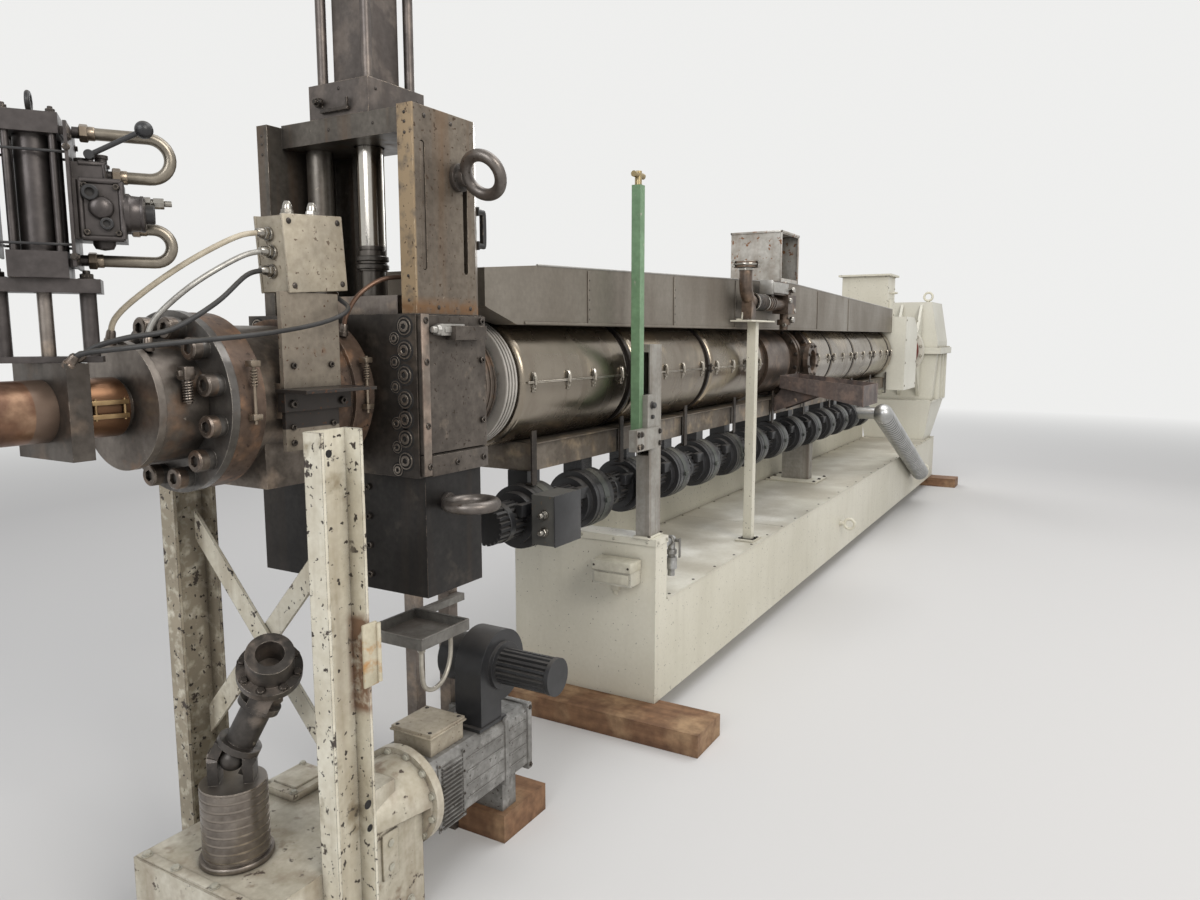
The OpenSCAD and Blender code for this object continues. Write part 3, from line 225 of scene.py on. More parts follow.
looks = {
    "creamBase": paint((0.68, 0.65, 0.55), (0.6, 0.57, 0.47), patchScale=1.6, mottle=0.12, runs=0.14,
        runColour=(0.38, 0.35, 0.27), specks=0.1, speckColour=(0.16, 0.14, 0.11), wear=0.1, edgeWear=0.13, dirt=0.55,
        dirtColour=(0.2, 0.18, 0.14), dust=0.22, dustColour=(0.42, 0.38, 0.3), edge=3),
    "creamGear": paint((0.68, 0.66, 0.57), (0.6, 0.58, 0.5), patchScale=2.0, mottle=0.12, runs=0.1,
        runColour=(0.42, 0.38, 0.3), wear=0.08, wearColour=(0.24, 0.23, 0.2), edgeWear=0.1, dirt=0.5,
        dirtColour=(0.22, 0.2, 0.16), edge=6, bumpDepth=1.6),
    "creamStand": paint((0.76, 0.725, 0.615), (0.6, 0.55, 0.44), third=(0.36, 0.31, 0.22), thirdFrom=0.6,
        patchScale=6, rough=(0.4, 0.62), runs=0.45, runColour=(0.24, 0.18, 0.11), specks=0.7, speckScale=60,
        wear=0.62, wearColour=(0.055, 0.042, 0.034), edgeWear=0.24, chipScale=17, dirt=0.85, edge=2.5, bumpDepth=1.2,
        zones=(
        ((-1566, -350, 660), (-1540, -285, 900), 12, (0.2, 0.085, 0.035), 0.8, 0.0),
        ((None, 215, None), (None, None, 1230), 14, (0.36, 0.31, 0.23), 0.75, 0.0))),
    "coverSteel": oldSteel((0.335, 0.295, 0.24), (0.25, 0.215, 0.17), third=(0.42, 0.35, 0.255), thirdScale=3.0,
        patchScale=2.4, patchStretch=(0.6, 1, 1.6), fineScale=7, metal=1.0, rough=(0.15, 0.3), mottle=0.15, runs=0.4,
        runColour=(0.17, 0.13, 0.1), wear=0, dirt=0.65, dirtColour=(0.08, 0.06, 0.045), cornerReach=16, bump=0.25,
        bumpDepth=1.6, fineBump=1.0),
    "hoodSteel": steel((0.285, 0.255, 0.215), (0.225, 0.198, 0.165), patchScale=3.0, patchStretch=(1, 1, 0.7),
        rough=(0.32, 0.52), mottle=0.18, brushed=(2, 160, 160), runs=0.28, runColour=(0.12, 0.09, 0.065), runScale=4,
        wear=0, dirt=0.7, dirtColour=(0.06, 0.05, 0.04), dust=0.5, edge=1.5),
    "chimneySteel": paint((0.56, 0.54, 0.5), (0.4, 0.375, 0.335), patchScale=12, metal=0.5, rough=(0.35, 0.6),
        mottle=0.35, runs=0.3, specks=0.9, speckColour=(0.22, 0.1, 0.045), speckScale=38, wear=0.35,
        wearColour=(0.25, 0.13, 0.07), edgeWear=0.2, edge=2),
    "towerSteel": steel((0.255, 0.215, 0.17), (0.165, 0.135, 0.108), patchScale=5, patchStretch=(1, 1, 0.3),
        metal=0.8, brushed=(220, 220, 4), runs=0.65, runColour=(0.19, 0.105, 0.05), runScale=15, specks=0.7,
        speckColour=(0.085, 0.055, 0.036), speckScale=80, wear=0.25, wearColour=(0.44, 0.36, 0.27), edgeWear=0.2,
        wearMetal=0.85,
        zones=(
        ((-1023, None, None), (None, None, None), 1.0, (0.03, 0.028, 0.027), 0.4, 0.3),
        ((-1330, None, None), (-1309, None, None), 2.0, (0.4, 0.295, 0.18), 0.5, 0.55),
        ((None, None, 1600), (None, None, 1640), 14, (0.2, 0.105, 0.045), 0.6, 0.3))),
    "yokeSteel": steel((0.165, 0.148, 0.128), (0.105, 0.093, 0.08), patchScale=6, metal=0.75, rough=(0.28, 0.48),
        runs=0.5, runColour=(0.15, 0.085, 0.045), runScale=20, wearColour=(0.36, 0.31, 0.25), edgeWear=0.22,
        wearMetal=0.85),
    "cylinderSteel": steel((0.15, 0.13, 0.118), (0.105, 0.09, 0.082), third=(0.19, 0.16, 0.14), patchScale=4,
        patchStretch=(1, 1, 0.4), metal=0.7, rough=(0.3, 0.48), mottle=0.3, runs=0.35, wear=0.2,
        wearColour=(0.42, 0.34, 0.25), edgeWear=0.24, wearMetal=0.7, dirt=0.8, edge=2.5),
    "blockSteel": oldSteel((0.082, 0.07, 0.06), (0.045, 0.039, 0.034), third=(0.14, 0.115, 0.092), thirdFrom=0.56,
        rough=(0.26, 0.46), runs=0.4, wear=0.2, wearColour=(0.26, 0.21, 0.17), edgeWear=0.24, wearMetal=0.8,
        dirt=0.75, dirtColour=(0.02, 0.017, 0.014)),
    "guideSteel": oldSteel((0.03, 0.027, 0.025), (0.017, 0.015, 0.014), third=(0.055, 0.046, 0.038), thirdFrom=0.58,
        metal=0.5, rough=(0.26, 0.46), runs=0.35, runColour=(0.06, 0.042, 0.03), wear=0.15,
        wearColour=(0.18, 0.145, 0.115), edgeWear=0.24, wearMetal=0.8, dirt=0.6, dirtColour=(0.012, 0.01, 0.009)),
    "coverPlate": steel((0.155, 0.132, 0.112), (0.095, 0.08, 0.068), third=(0.24, 0.195, 0.155), thirdScale=16,
        thirdFrom=0.59, patchScale=8, metal=0.7, rough=(0.28, 0.5), brushed=(40, 40, 200), specks=0.5,
        wearColour=(0.36, 0.3, 0.24), wearMetal=0.85, dirt=0.7),
    "ringSteel": oldSteel((0.2, 0.135, 0.098), (0.115, 0.082, 0.064), third=(0.31, 0.185, 0.115), thirdScale=14,
        thirdFrom=0.54, patchScale=10, rough=(0.34, 0.56), brushed=(260, 4, 4), specks=0.5, wear=0.35,
        wearColour=(0.38, 0.29, 0.22), edgeWear=0.2, dirt=0.85),
    "neckSteel": steel((0.235, 0.205, 0.178), (0.15, 0.128, 0.11), third=(0.27, 0.18, 0.125), thirdScale=10,
        thirdFrom=0.56, patchScale=8, metal=0.8, rough=(0.24, 0.42), brushed=(180, 5, 5),
        wearColour=(0.44, 0.39, 0.33), edgeWear=0.22,
        zones=(((-2012, None, None), (-1914, None, None), 1.0, (0.22, 0.115, 0.062), 0.3, 0.9),)),
    "flangeSteel": steel((0.2, 0.19, 0.178), (0.125, 0.112, 0.102), third=(0.22, 0.15, 0.11), thirdScale=9,
        thirdFrom=0.57, patchScale=7, metal=0.8, rough=(0.26, 0.44), wear=0.35, wearColour=(0.42, 0.38, 0.33),
        edgeWear=0.22, dirt=0.9),
    "bracketSteel": oldSteel((0.35, 0.3, 0.235), (0.24, 0.205, 0.165), third=(0.23, 0.13, 0.08), thirdScale=12,
        thirdFrom=0.62, patchScale=6, rough=(0.34, 0.52), mottle=0.3, runs=0.3, runColour=(0.15, 0.1, 0.06),
        specks=0.5, speckColour=(0.1, 0.05, 0.03), wearColour=(0.13, 0.075, 0.045), wearMetal=None,
        zones=(((None, None, 1340), (None, None, 1433), 1.0, (0.06, 0.052, 0.047), 0.4, 0.7),)),
    "heaterBand": oldSteel((0.235, 0.2, 0.168), (0.14, 0.117, 0.097), third=(0.32, 0.255, 0.2), metal=0.7,
        rough=(0.3, 0.52), wearColour=(0.5, 0.43, 0.35)),
    "copperBand": steel((0.27, 0.15, 0.092), (0.16, 0.092, 0.064), third=(0.36, 0.23, 0.15), patchScale=12,
        rough=(0.3, 0.52), mottle=0.3, wear=0.2, wearColour=(0.56, 0.36, 0.25), dirt=0.7,
        zones=(
        ((-1906, None, None), (-1760, None, None), 1.0, (0.2, 0.14, 0.105), 0.4, 0.7),
        ((-2100, None, None), (-2006, None, None), 1.0, (0.2, 0.14, 0.105), 0.4, 0.7))),
    "flangeRust": oldSteel((0.25, 0.205, 0.17), (0.16, 0.13, 0.11), third=(0.3, 0.2, 0.14), thirdScale=20,
        patchScale=12, rough=(0.35, 0.6), wearColour=(0.42, 0.36, 0.3), dirt=0.85, edge=1.5,
        zones=(((-806, None, None), (-738, None, None), 1.2, (0.46, 0.43, 0.39), 0.85, 0.0),)),
    "valveSteel": steel((0.138, 0.12, 0.104), (0.085, 0.073, 0.063), third=(0.19, 0.145, 0.112), thirdScale=9,
        thirdFrom=0.56, patchScale=7, metal=0.8, runs=0.3, runColour=(0.1, 0.07, 0.05), wear=0.25,
        wearColour=(0.38, 0.33, 0.28), dirt=0.8),
    "bareSteel": steel((0.3, 0.265, 0.235), (0.2, 0.17, 0.15), third=(0.38, 0.31, 0.25), patchScale=7, runs=0.3,
        runColour=(0.12, 0.09, 0.07), wear=0.25, wearColour=(0.5, 0.46, 0.4), dirt=0.8),
    "chromeRod": smooth((0.56, 0.53, 0.48), (0.52, 0.5, 0.46), patchScale=5, metal=1.0, rough=(0.1, 0.2), mottle=0.1,
        runs=0.25, runScale=40, dirtColour=sootAndShade, cornerReach=12,
        zones=(((None, None, 1640), (None, None, 1800), 1.0, (0.15, 0.135, 0.12), 0.32, 0.9),)),
    "castEye": steel((0.105, 0.092, 0.088), (0.07, 0.061, 0.058), metal=0.7, rough=(0.28, 0.42), mottle=0.3,
        wear=0.15, wearColour=(0.3, 0.27, 0.24), dirt=0.7, bumpDepth=0.5, fineBump=0.6),
    "eyeSteel": steel((0.2, 0.178, 0.16), (0.14, 0.122, 0.11), metal=0.75, rough=(0.28, 0.44), specks=0.5,
        speckColour=(0.07, 0.055, 0.045), wear=0.2, wearColour=(0.4, 0.36, 0.31), dirt=0.7, fineBump=0.8),
    "rustTrough": oldSteel((0.145, 0.112, 0.1), (0.085, 0.068, 0.062), third=(0.2, 0.145, 0.12), thirdScale=9,
        patchScale=8, patchStretch=(1, 1, 0.4), metal=0.35, rough=(0.4, 0.65), runs=0.6, runColour=(0.2, 0.13, 0.1),
        runScale=18, wearColour=(0.36, 0.26, 0.19), edgeWear=0.24, wearMetal=0.6, dirtColour=(0.02, 0.015, 0.012),
        edge=1.5),
    "darkStrap": oldSteel((0.075, 0.06, 0.05), (0.045, 0.038, 0.032), patchScale=12, wear=0.25,
        wearColour=(0.3, 0.24, 0.18), wearMetal=0.8, dirtColour=(0.02, 0.016, 0.014), edge=1.5),
    "ventSteel": oldSteel((0.17, 0.125, 0.095), (0.1, 0.078, 0.064), third=(0.27, 0.19, 0.135), thirdScale=8,
        patchScale=6, metal=0.7, rough=(0.3, 0.5), wearColour=(0.4, 0.31, 0.23), dirt=0.85),
    "blackPaint": paint((0.026, 0.026, 0.028), (0.017, 0.017, 0.018), patchScale=10, rough=(0.28, 0.45), mottle=0.2,
        wear=0.06, wearColour=(0.16, 0.15, 0.14), dirt=0.4, dirtColour=(0.05, 0.045, 0.04), dust=0.28,
        dustColour=(0.16, 0.14, 0.12), edge=2),
    "blowerDrum": paint((0.02, 0.02, 0.021), (0.013, 0.013, 0.014), patchScale=10, rough=(0.22, 0.4), mottle=0.2,
        wear=0.08, dirt=0.4, dirtColour=(0.04, 0.036, 0.03), dust=0.2, dustColour=(0.17, 0.155, 0.13), edge=2),
    "plenumSteel": oldSteel((0.24, 0.205, 0.165), (0.15, 0.125, 0.1), third=(0.34, 0.27, 0.19), patchScale=5,
        mottle=0.35, runs=0.4, runColour=(0.1, 0.07, 0.05), wear=0, dirt=0.85),
    # screws: the near-black corner colour over a short reach is painted shade in the recesses round the heads
    "sunkScrew": steel((0.32, 0.28, 0.24), (0.2, 0.172, 0.148), patchScale=40, rough=(0.25, 0.4), mottle=0.3,
        wearColour=(0.5, 0.44, 0.37), edgeWear=0.3, dirt=1.0, dirtColour=(0.004, 0.0035, 0.003), cornerReach=7,
        edge=0.8),
    "darkBolt": oldSteel((0.085, 0.072, 0.062), (0.05, 0.043, 0.038), patchScale=40, metal=0.75, rough=(0.28, 0.45),
        mottle=0.3, wearColour=(0.34, 0.28, 0.22), edgeWear=0.3, dirt=0.9, dirtColour=(0.012, 0.01, 0.009),
        cornerReach=6, edge=0.8),
    "screwSteel": steel((0.2, 0.168, 0.142), (0.125, 0.103, 0.087), third=(0.26, 0.18, 0.13), patchScale=30,
        rough=(0.26, 0.44), mottle=0.3, wearColour=(0.46, 0.4, 0.34), edgeWear=0.28, dirt=1.0,
        dirtColour=(0.01, 0.008, 0.007), cornerReach=9, edge=1.2),
    "brightFitting": steel((0.4, 0.38, 0.345), (0.29, 0.27, 0.24), patchScale=30, metal=0.95, rough=(0.16, 0.32),
        mottle=0.2, specks=0.3, speckColour=(0.16, 0.11, 0.07), wear=0, dirtColour=(0.05, 0.042, 0.035),
        cornerReach=7, edge=0.8),
    "latchSteel": steel((0.5, 0.46, 0.4), (0.4, 0.36, 0.3), patchScale=20, metal=0.95, rough=(0.18, 0.34),
        mottle=0.25, wear=0, dirtColour=(0.05, 0.04, 0.03), cornerReach=8, edge=0.8),
    "paintedBolt": paint((0.52, 0.5, 0.42), (0.4, 0.38, 0.31), patchScale=30, rough=(0.36, 0.52), wear=0.3,
        wearColour=(0.1, 0.08, 0.065), edgeWear=0.3, dirt=0.9, dirtColour=(0.1, 0.08, 0.06), cornerReach=7, edge=0.8),
    "sleeveSteel": steel((0.3, 0.265, 0.23), (0.19, 0.165, 0.145), patchScale=12, metal=0.9, rough=(0.22, 0.4),
        brushed=(6, 6, 260), runs=0.3, wear=0, dirtColour=(0.015, 0.012, 0.01), cornerReach=6, edge=0.8),
    "hingePaint": smooth((0.62, 0.57, 0.44), (0.5, 0.45, 0.33), third=(0.5, 0.24, 0.06), thirdScale=16,
        thirdFrom=0.55, rough=(0.45, 0.65), wear=0.3, wearColour=(0.16, 0.07, 0.03), dirt=0.7,
        dirtColour=(0.12, 0.07, 0.03), edge=1.2),
    # near-black, for discs that stand for painted shade inside holes and recesses
    "paintedHoleShade": smooth((0.012, 0.01, 0.009), (0.008, 0.007, 0.006), patchScale=30, rough=(0.7, 0.9), mottle=0.2,
        dirt=0, edge=0.5),
    "sensorSteel": paint((0.4, 0.385, 0.355), (0.35, 0.335, 0.31), patchScale=26, metal=0.55, rough=(0.26, 0.42),
        mottle=0.25, wearColour=(0.16, 0.13, 0.11), dirtColour=(0.05, 0.042, 0.035), cornerReach=10, edge=1),
    "leadCream": smooth((0.55, 0.49, 0.38), (0.42, 0.36, 0.27), dirtColour=(0.12, 0.09, 0.06), edge=0.6),
    "leadRust": oldSteel((0.22, 0.125, 0.08), (0.14, 0.085, 0.06), patchScale=16, metal=0.5, mottle=0.35, wear=0,
        dirt=0.7, edge=0.6),
    "leadBright": smooth((0.5, 0.485, 0.45), (0.34, 0.325, 0.3), metal=0.7, rough=(0.3, 0.5), brushed=(420, 420, 420),
        dirt=0.7, cornerReach=8, edge=0.6),
    "leadBlack": smooth((0.035, 0.034, 0.034), (0.022, 0.021, 0.021), brushed=(420, 420, 420), dirt=0, dust=0.4,
        dustColour=(0.14, 0.12, 0.09), edge=0.6),
    "drainTube": smooth((0.46, 0.43, 0.37), (0.34, 0.31, 0.26), patchScale=16, metal=0.4, rough=(0.3, 0.5), edge=0.8),
    "blowerBand": paint((0.085, 0.092, 0.082), (0.055, 0.06, 0.054), metal=0.4, rough=(0.3, 0.5), wear=0.15,
        wearColour=(0.3, 0.27, 0.22), dirt=0, dust=0.45, dustColour=(0.2, 0.18, 0.15), edge=1),
    "connectorCream": paint((0.62, 0.59, 0.49), (0.5, 0.47, 0.38), patchScale=18, mottle=0.25, wear=0.15,
        wearColour=(0.3, 0.26, 0.2), dirtColour=(0.12, 0.1, 0.075), cornerReach=14, edge=2),
    "wornBar": steel((0.28, 0.24, 0.2), (0.215, 0.165, 0.135), third=(0.4, 0.31, 0.25), metal=0.7, rough=(0.3, 0.5),
        wear=0.4, wearColour=(0.5, 0.42, 0.35), dirt=0.8, edge=1.2),
    "unionSteel": steel((0.34, 0.28, 0.215), (0.22, 0.178, 0.135), patchScale=20, rough=(0.24, 0.4), mottle=0.3,
        wearColour=(0.5, 0.44, 0.36), cornerReach=8, edge=1),
    "hosePipe": oldSteel((0.31, 0.275, 0.225), (0.19, 0.165, 0.13), metal=0.75, rough=(0.24, 0.4), mottle=0.3,
        runs=0.3, runColour=(0.09, 0.075, 0.06), wear=0, edge=1),
    "couplingBlack": paint((0.15, 0.135, 0.12), (0.1, 0.09, 0.08), patchScale=20, metal=0.7, rough=(0.25, 0.4),
        wear=0.25, wearColour=(0.3, 0.26, 0.22), wearMetal=0.9, dirtColour=(0.01, 0.009, 0.008)),
    "castBlack": paint((0.03, 0.029, 0.03), (0.02, 0.019, 0.019), patchScale=18, metal=0.2, rough=(0.3, 0.45),
        mottle=0.25, wear=0.15, wearColour=(0.2, 0.18, 0.16), edgeWear=0.2, dirt=0.5, dirtColour=(0.05, 0.042, 0.034),
        dust=0.35, edge=1.2),
    "sleeveBrass": smooth((0.46, 0.33, 0.17), (0.32, 0.215, 0.115), patchScale=22, metal=0.9, rough=(0.22, 0.4),
        dirt=0.8, dirtColour=(0.05, 0.035, 0.02), cornerReach=8),
    "hoseRubber": smooth((0.02, 0.019, 0.018), (0.032, 0.029, 0.026), rough=(0.45, 0.65), dirt=0.5,
        dirtColour=(0.05, 0.038, 0.028), cornerReach=10, dust=0.5),
    "galvanised": steel((0.46, 0.46, 0.45), (0.34, 0.335, 0.32), third=(0.55, 0.55, 0.54), thirdScale=26,
        patchScale=18, metal=0.8, rough=(0.3, 0.5), mottle=0.25, wear=0.1, wearMetal=None, dirt=0.6,
        dirtColour=(0.08, 0.07, 0.055), edge=1.5),
    "greyPost": paint((0.4, 0.385, 0.35), (0.28, 0.26, 0.23), patchScale=7, metal=0.35, rough=(0.35, 0.55), runs=0.55,
        runColour=(0.17, 0.13, 0.1), runScale=30, wearColour=(0.2, 0.16, 0.12)),
    "greenPost": paint((0.185, 0.31, 0.175), (0.15, 0.25, 0.14), rough=(0.35, 0.5), wear=0.4,
        wearColour=(0.33, 0.33, 0.26), edgeWear=0.18, dirt=0.5, dirtColour=(0.05, 0.06, 0.04),
        zones=(((None, None, 2100), (None, None, 2230), 1.0, (0.42, 0.33, 0.18), 0.35, 0.85),)),
    "ribbedDuct": smooth((0.54, 0.54, 0.535), (0.43, 0.43, 0.42), patchScale=7, metal=0.9, rough=(0.24, 0.42),
        mottle=0.2, dirt=0.75, dirtColour=(0.07, 0.065, 0.06), cornerReach=22),
    "couplingRed": smooth((0.2, 0.035, 0.022), (0.13, 0.026, 0.018), patchScale=7, wear=0.15,
        dirtColour=(0.04, 0.015, 0.01), edge=2),
    "motorGrey": smooth((0.27, 0.262, 0.247), (0.2, 0.193, 0.18), third=(0.34, 0.332, 0.315), thirdScale=24,
        metal=0.25, rough=(0.4, 0.62), mottle=0.35, specks=0.5, speckScale=90, wear=0.25,
        wearColour=(0.12, 0.1, 0.085), dirt=0.8, dirtColour=(0.06, 0.05, 0.04), edge=3),
    "gearcasePaint": paint((0.67, 0.63, 0.53), (0.5, 0.455, 0.36), third=(0.24, 0.17, 0.115), thirdScale=13,
        thirdFrom=0.61, metal=0.2, rough=(0.35, 0.6), mottle=0.35, runs=0.4, wear=0.55,
        wearColour=(0.09, 0.065, 0.05), dirt=0.85, dirtColour=(0.05, 0.038, 0.03), edge=3),
    "cardanSteel": oldSteel((0.095, 0.084, 0.075), (0.045, 0.04, 0.036), third=(0.2, 0.165, 0.138), thirdScale=12,
        rough=(0.3, 0.5), mottle=0.35, wear=0.4, wearColour=(0.42, 0.37, 0.31), edgeWear=0.2,
        zones=(((None, None, 300), (None, None, 495), 1.4, (0.36, 0.315, 0.27), 0.26, 0.95),)),
    "timber": paint((0.27, 0.145, 0.072), (0.16, 0.082, 0.042), third=(0.38, 0.245, 0.135), thirdScale=4,
        patchScale=3, patchStretch=(9, 0.8, 9), fineScale=30, rough=(0.55, 0.75), mottle=0.45, brushed=(110, 3, 110),
        wearColour=(0.12, 0.06, 0.03), dirt=0.6, dirtColour=(0.06, 0.03, 0.018), edge=3, bump=0.5, bumpDepth=2.0),
    "trayGrey": oldSteel((0.24, 0.23, 0.21), (0.16, 0.15, 0.135), metal=0.35, rough=(0.4, 0.6), mottle=0.35,
        wear=0.35, wearMetal=None, dust=0.4, edge=1.5),
    "boxGrey": paint((0.5, 0.44, 0.34), (0.37, 0.325, 0.255), third=(0.22, 0.175, 0.13), thirdFrom=0.6, patchScale=8,
        metal=0.25, rough=(0.35, 0.55), mottle=0.35, specks=0.4, speckColour=(0.14, 0.1, 0.07), wear=0.3,
        wearColour=(0.16, 0.12, 0.09), edge=3,
        zones=(
        ((-740, -345, 870), (-540, -200, 1060), 1.0, (0.1, 0.098, 0.09), 0.4, 0.0),
        ((-100, -290, 560), (10, -80, 690), 1.0, (0.6, 0.57, 0.48), 0.42, 0.0))),
    "waterPipe": paint((0.33, 0.32, 0.3), (0.22, 0.21, 0.19), patchScale=16, metal=0.75, rough=(0.3, 0.5),
        wearColour=(0.4, 0.29, 0.16), dirt=0.75, dirtColour=(0.05, 0.045, 0.035)),
    "deckSheet": paint((0.64, 0.62, 0.53), (0.54, 0.51, 0.43), patchScale=3, rough=(0.38, 0.55), mottle=0.2,
        wear=0.18, wearColour=(0.24, 0.22, 0.18), edgeWear=0.12, dirtColour=(0.17, 0.14, 0.1), dust=0.45,
        dustColour=(0.33, 0.29, 0.22)),
}
nodeLooks = {
    "creamBase": "base_frame lifting_eyes vent_stand feed_box", "deckSheet": "deck_plates", "creamStand": "stand",
    "creamGear": "gearbox gearbox_pedestal feed_housing", "gearcasePaint": "drive_base drive_gearcase",
    "coverSteel": "upper_covers lower_covers", "hoodSteel": "exhaust_hood", "chimneySteel": "chimney",
    "darkStrap": "cover_straps plenum_hangers", "towerSteel": "yoke_side_plate", "yokeSteel": "yoke_frame",
    "cylinderSteel": "cylinder_heads cylinder_body", "blockSteel": "screen_block", "guideSteel": "lower_guide",
    "coverPlate": "block_cover", "ringSteel": "adapter_rings", "bracketSteel": "bracket_plate",
    "neckSteel": "turned_neck", "heaterBand": "adapter_body", "copperBand": "outlet_pipe",
    "flangeSteel": "bolt_flange", "flangeRust": "barrel_flange", "valveSteel": "valve_body",
    "bareSteel": "slide_plate valve_rod barrel_supports", "chromeRod": "piston_rod", "eyeSteel": "changer_eyes",
    "castEye": "valve_cylinder valve_manifold", "rustTrough": "drip_trough", "blowerDrum": "blower_drums",
    "ventSteel": "vent_section vent_line barrel", "blackPaint": "blower_motors motor_blower valve_lever",
    "plenumSteel": "plenums", "galvanised": "water_valve", "greyPost": "grey_post barrel_pedestal",
    "greenPost": "green_post", "ribbedDuct": "air_duct", "couplingRed": "drive_coupling",
    "motorGrey": "drive_motor", "cardanSteel": "cardan_shaft", "timber": "sleepers", "trayGrey": "drip_tray",
    "boxGrey": "terminal_boxes",
}
materials = {name: finish(name, look) for name, look in looks.items()}
left = set(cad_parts)
for name, nodes in nodeLooks.items():
    for node in nodes.split():
        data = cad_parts[node].data
        data.materials.clear()
        data.materials.append(materials[name])
        left.remove(node)
print("finishes:", len(materials), "nodes without one:", sorted(left))

# directions: near is the operator's side, front the discharge end
near, far, front, back, up, down = (0, -1, 0), (0, 1, 0), (-1, 0, 0), (1, 0, 0), (0, 0, 1), (0, 0, -1)


# shapes in millimetres, each one a bmesh
def closed(shape):
    bmesh.ops.recalc_face_normals(shape, faces=shape.faces)
    return shape


def moved(shape, place=(0, 0, 0), toward=up):
    turn = Vector(toward).to_track_quat("Z", "Y").to_matrix().to_4x4()
    shape.transform(Matrix.Translation(place) @ turn)
    return shape


def carried(matrix, shapes):
    for shape in shapes:
        shape.transform(matrix)
    return shapes


def turned(profile, steps=24, place=None, toward=up, ring=False, hexBelow=-1):
    # profile turned about Z and put in place; rings up to hexBelow are six-sided, as in a socket
    shape = bmesh.new()
    rings = []
    for index, (radius, z) in enumerate(profile):
        circle = []
        for k in range(steps if radius else 1):
            a = 2 * math.pi * k / steps
            r = radius
            if index <= hexBelow:
                r = radius / math.cos((a + math.pi / 6) % (math.pi / 3) - math.pi / 6) * 0.93
            circle.append(shape.verts.new((r * math.cos(a), r * math.sin(a), z)))
        rings.append(circle)
    for low, high in zip(rings, rings[1:] + rings[:1] if ring else rings[1:]):
        for k in range(steps if len(low) + len(high) > 2 else 0):
            j = (k + 1) % steps
            corners = (low[k % len(low)], low[j % len(low)], high[j % len(high)], high[k % len(high)])
            shape.faces.new(tuple(dict.fromkeys(corners)))
    for end in (rings[0][::-1], rings[-1]):
        if len(end) > 1 and not ring:
            shape.faces.new(end)
    closed(shape)
    return moved(shape, place, toward) if place else shape


def rod(radius, length, steps=12, place=None, toward=up):
    return turned([(0, 0), (radius, 0), (radius, length), (0, length)], steps, place, toward)


def annulus(inner, outer, length, steps, place, toward=up):
    return turned([(inner, 0), (outer, 0), (outer, length), (inner, length)], steps, place, toward, True)


def plate(low, high, round=1.0, segments=2):
    shape = bmesh.new()
    bmesh.ops.create_cube(shape, size=1)
    bmesh.ops.scale(shape, vec=[b - a for a, b in zip(low, high)], verts=shape.verts)
    bmesh.ops.translate(shape, vec=[(a + b) / 2 for a, b in zip(low, high)], verts=shape.verts)
    bmesh.ops.bevel(shape, geom=shape.edges[:], offset=round, segments=segments, affect="EDGES", profile=0.5)
    return shape


def plates(*rows):
    return [plate(*row) for row in rows]


def swept(path, radius, sides=14, ends=True):
    # a round bar that follows the points of path; radius may be one number or one for each point
    shape = bmesh.new()
    points = [Vector(p) for p in path]
    radii = radius if isinstance(radius, list) else [radius] * len(points)
    normal = None
    rings = []
    for k, p in enumerate(points):
        ahead = (points[min(k + 1, len(points) - 1)] - points[max(k - 1, 0)]).normalized()
        normal = normal or ahead.orthogonal().normalized()
        normal = (normal - ahead * normal.dot(ahead)).normalized()
        side = ahead.cross(normal)
        rings.append([shape.verts.new(p + radii[k] * (math.cos(a) * normal + math.sin(a) * side))
                      for a in [2 * math.pi * j / sides for j in range(sides)]])
    for low, high in zip(rings, rings[1:]):
        for j in range(sides):
            shape.faces.new((low[j], low[(j + 1) % sides], high[(j + 1) % sides], high[j]))
    if ends:
        shape.faces.new(rings[0][::-1])
        shape.faces.new(rings[-1])
    return closed(shape)


def curved(points, steps=8):
    # a smooth path through the points
    points = [Vector(p) for p in points]
    full = [2 * points[0] - points[1]] + points + [2 * points[-1] - points[-2]]
    path = []
    for k in range(1, len(full) - 2):
        a, b, c, d = full[k - 1:k + 3]
        for t in [j / steps for j in range(steps)]:
            path.append(0.5 * ((2 * b) + (c - a) * t + (2 * a - 5 * b + 4 * c - d) * t * t
                               + (3 * b - a - 3 * c + d) * t ** 3))
    return path + points[-1:]


def circleOf(centre, axis, radius, count, start=0.0):
    # points round an axis along X or Y
    a, b = {"x": (1, 2), "y": (0, 2), "z": (0, 1)}[axis]
    points = []
    for k in range(count):
        angle = math.radians(start) + 2 * math.pi * k / count
        p = list(centre)
        p[a] += radius * math.cos(angle)
        p[b] += radius * math.sin(angle)
        points.append(p)
    return points


def hoop(centre, axis, radius, thick, sides):
    points = circleOf(centre, axis, radius, 24)
    return swept(points + points[:1], thick, sides, False)


def coil(x, y, z, radius, pitch, count, wire):
    # a spring that stands on (x, y, z), ten points to a turn
    turns = [k * math.pi / 5 for k in range(count)]
    return swept([(x + radius * math.cos(t), y + radius * math.sin(t), z + pitch * t / (2 * math.pi)) for t in turns],
                 wire, 6)


def asMesh(name, shapes, smooth=38.0):
    whole = bmesh.new()
    for shape in shapes:
        part = bpy.data.meshes.new("part")
        shape.to_mesh(part)
        shape.free()
        whole.from_mesh(part)
        bpy.data.meshes.remove(part)
    bmesh.ops.scale(whole, vec=(mm, mm, mm), verts=whole.verts)
    mesh = bpy.data.meshes.new(name)
    whole.to_mesh(mesh)
    whole.free()
    mesh.shade_smooth()
    mesh.set_sharp_from_angle(angle=math.radians(smooth))
    return mesh


def addPiece(name, shapes, look, body="machine"):
    piece = linked(name, asMesh(name, shapes))
    piece.data.materials.append(materials[look])
    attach(piece, body)
    return piece


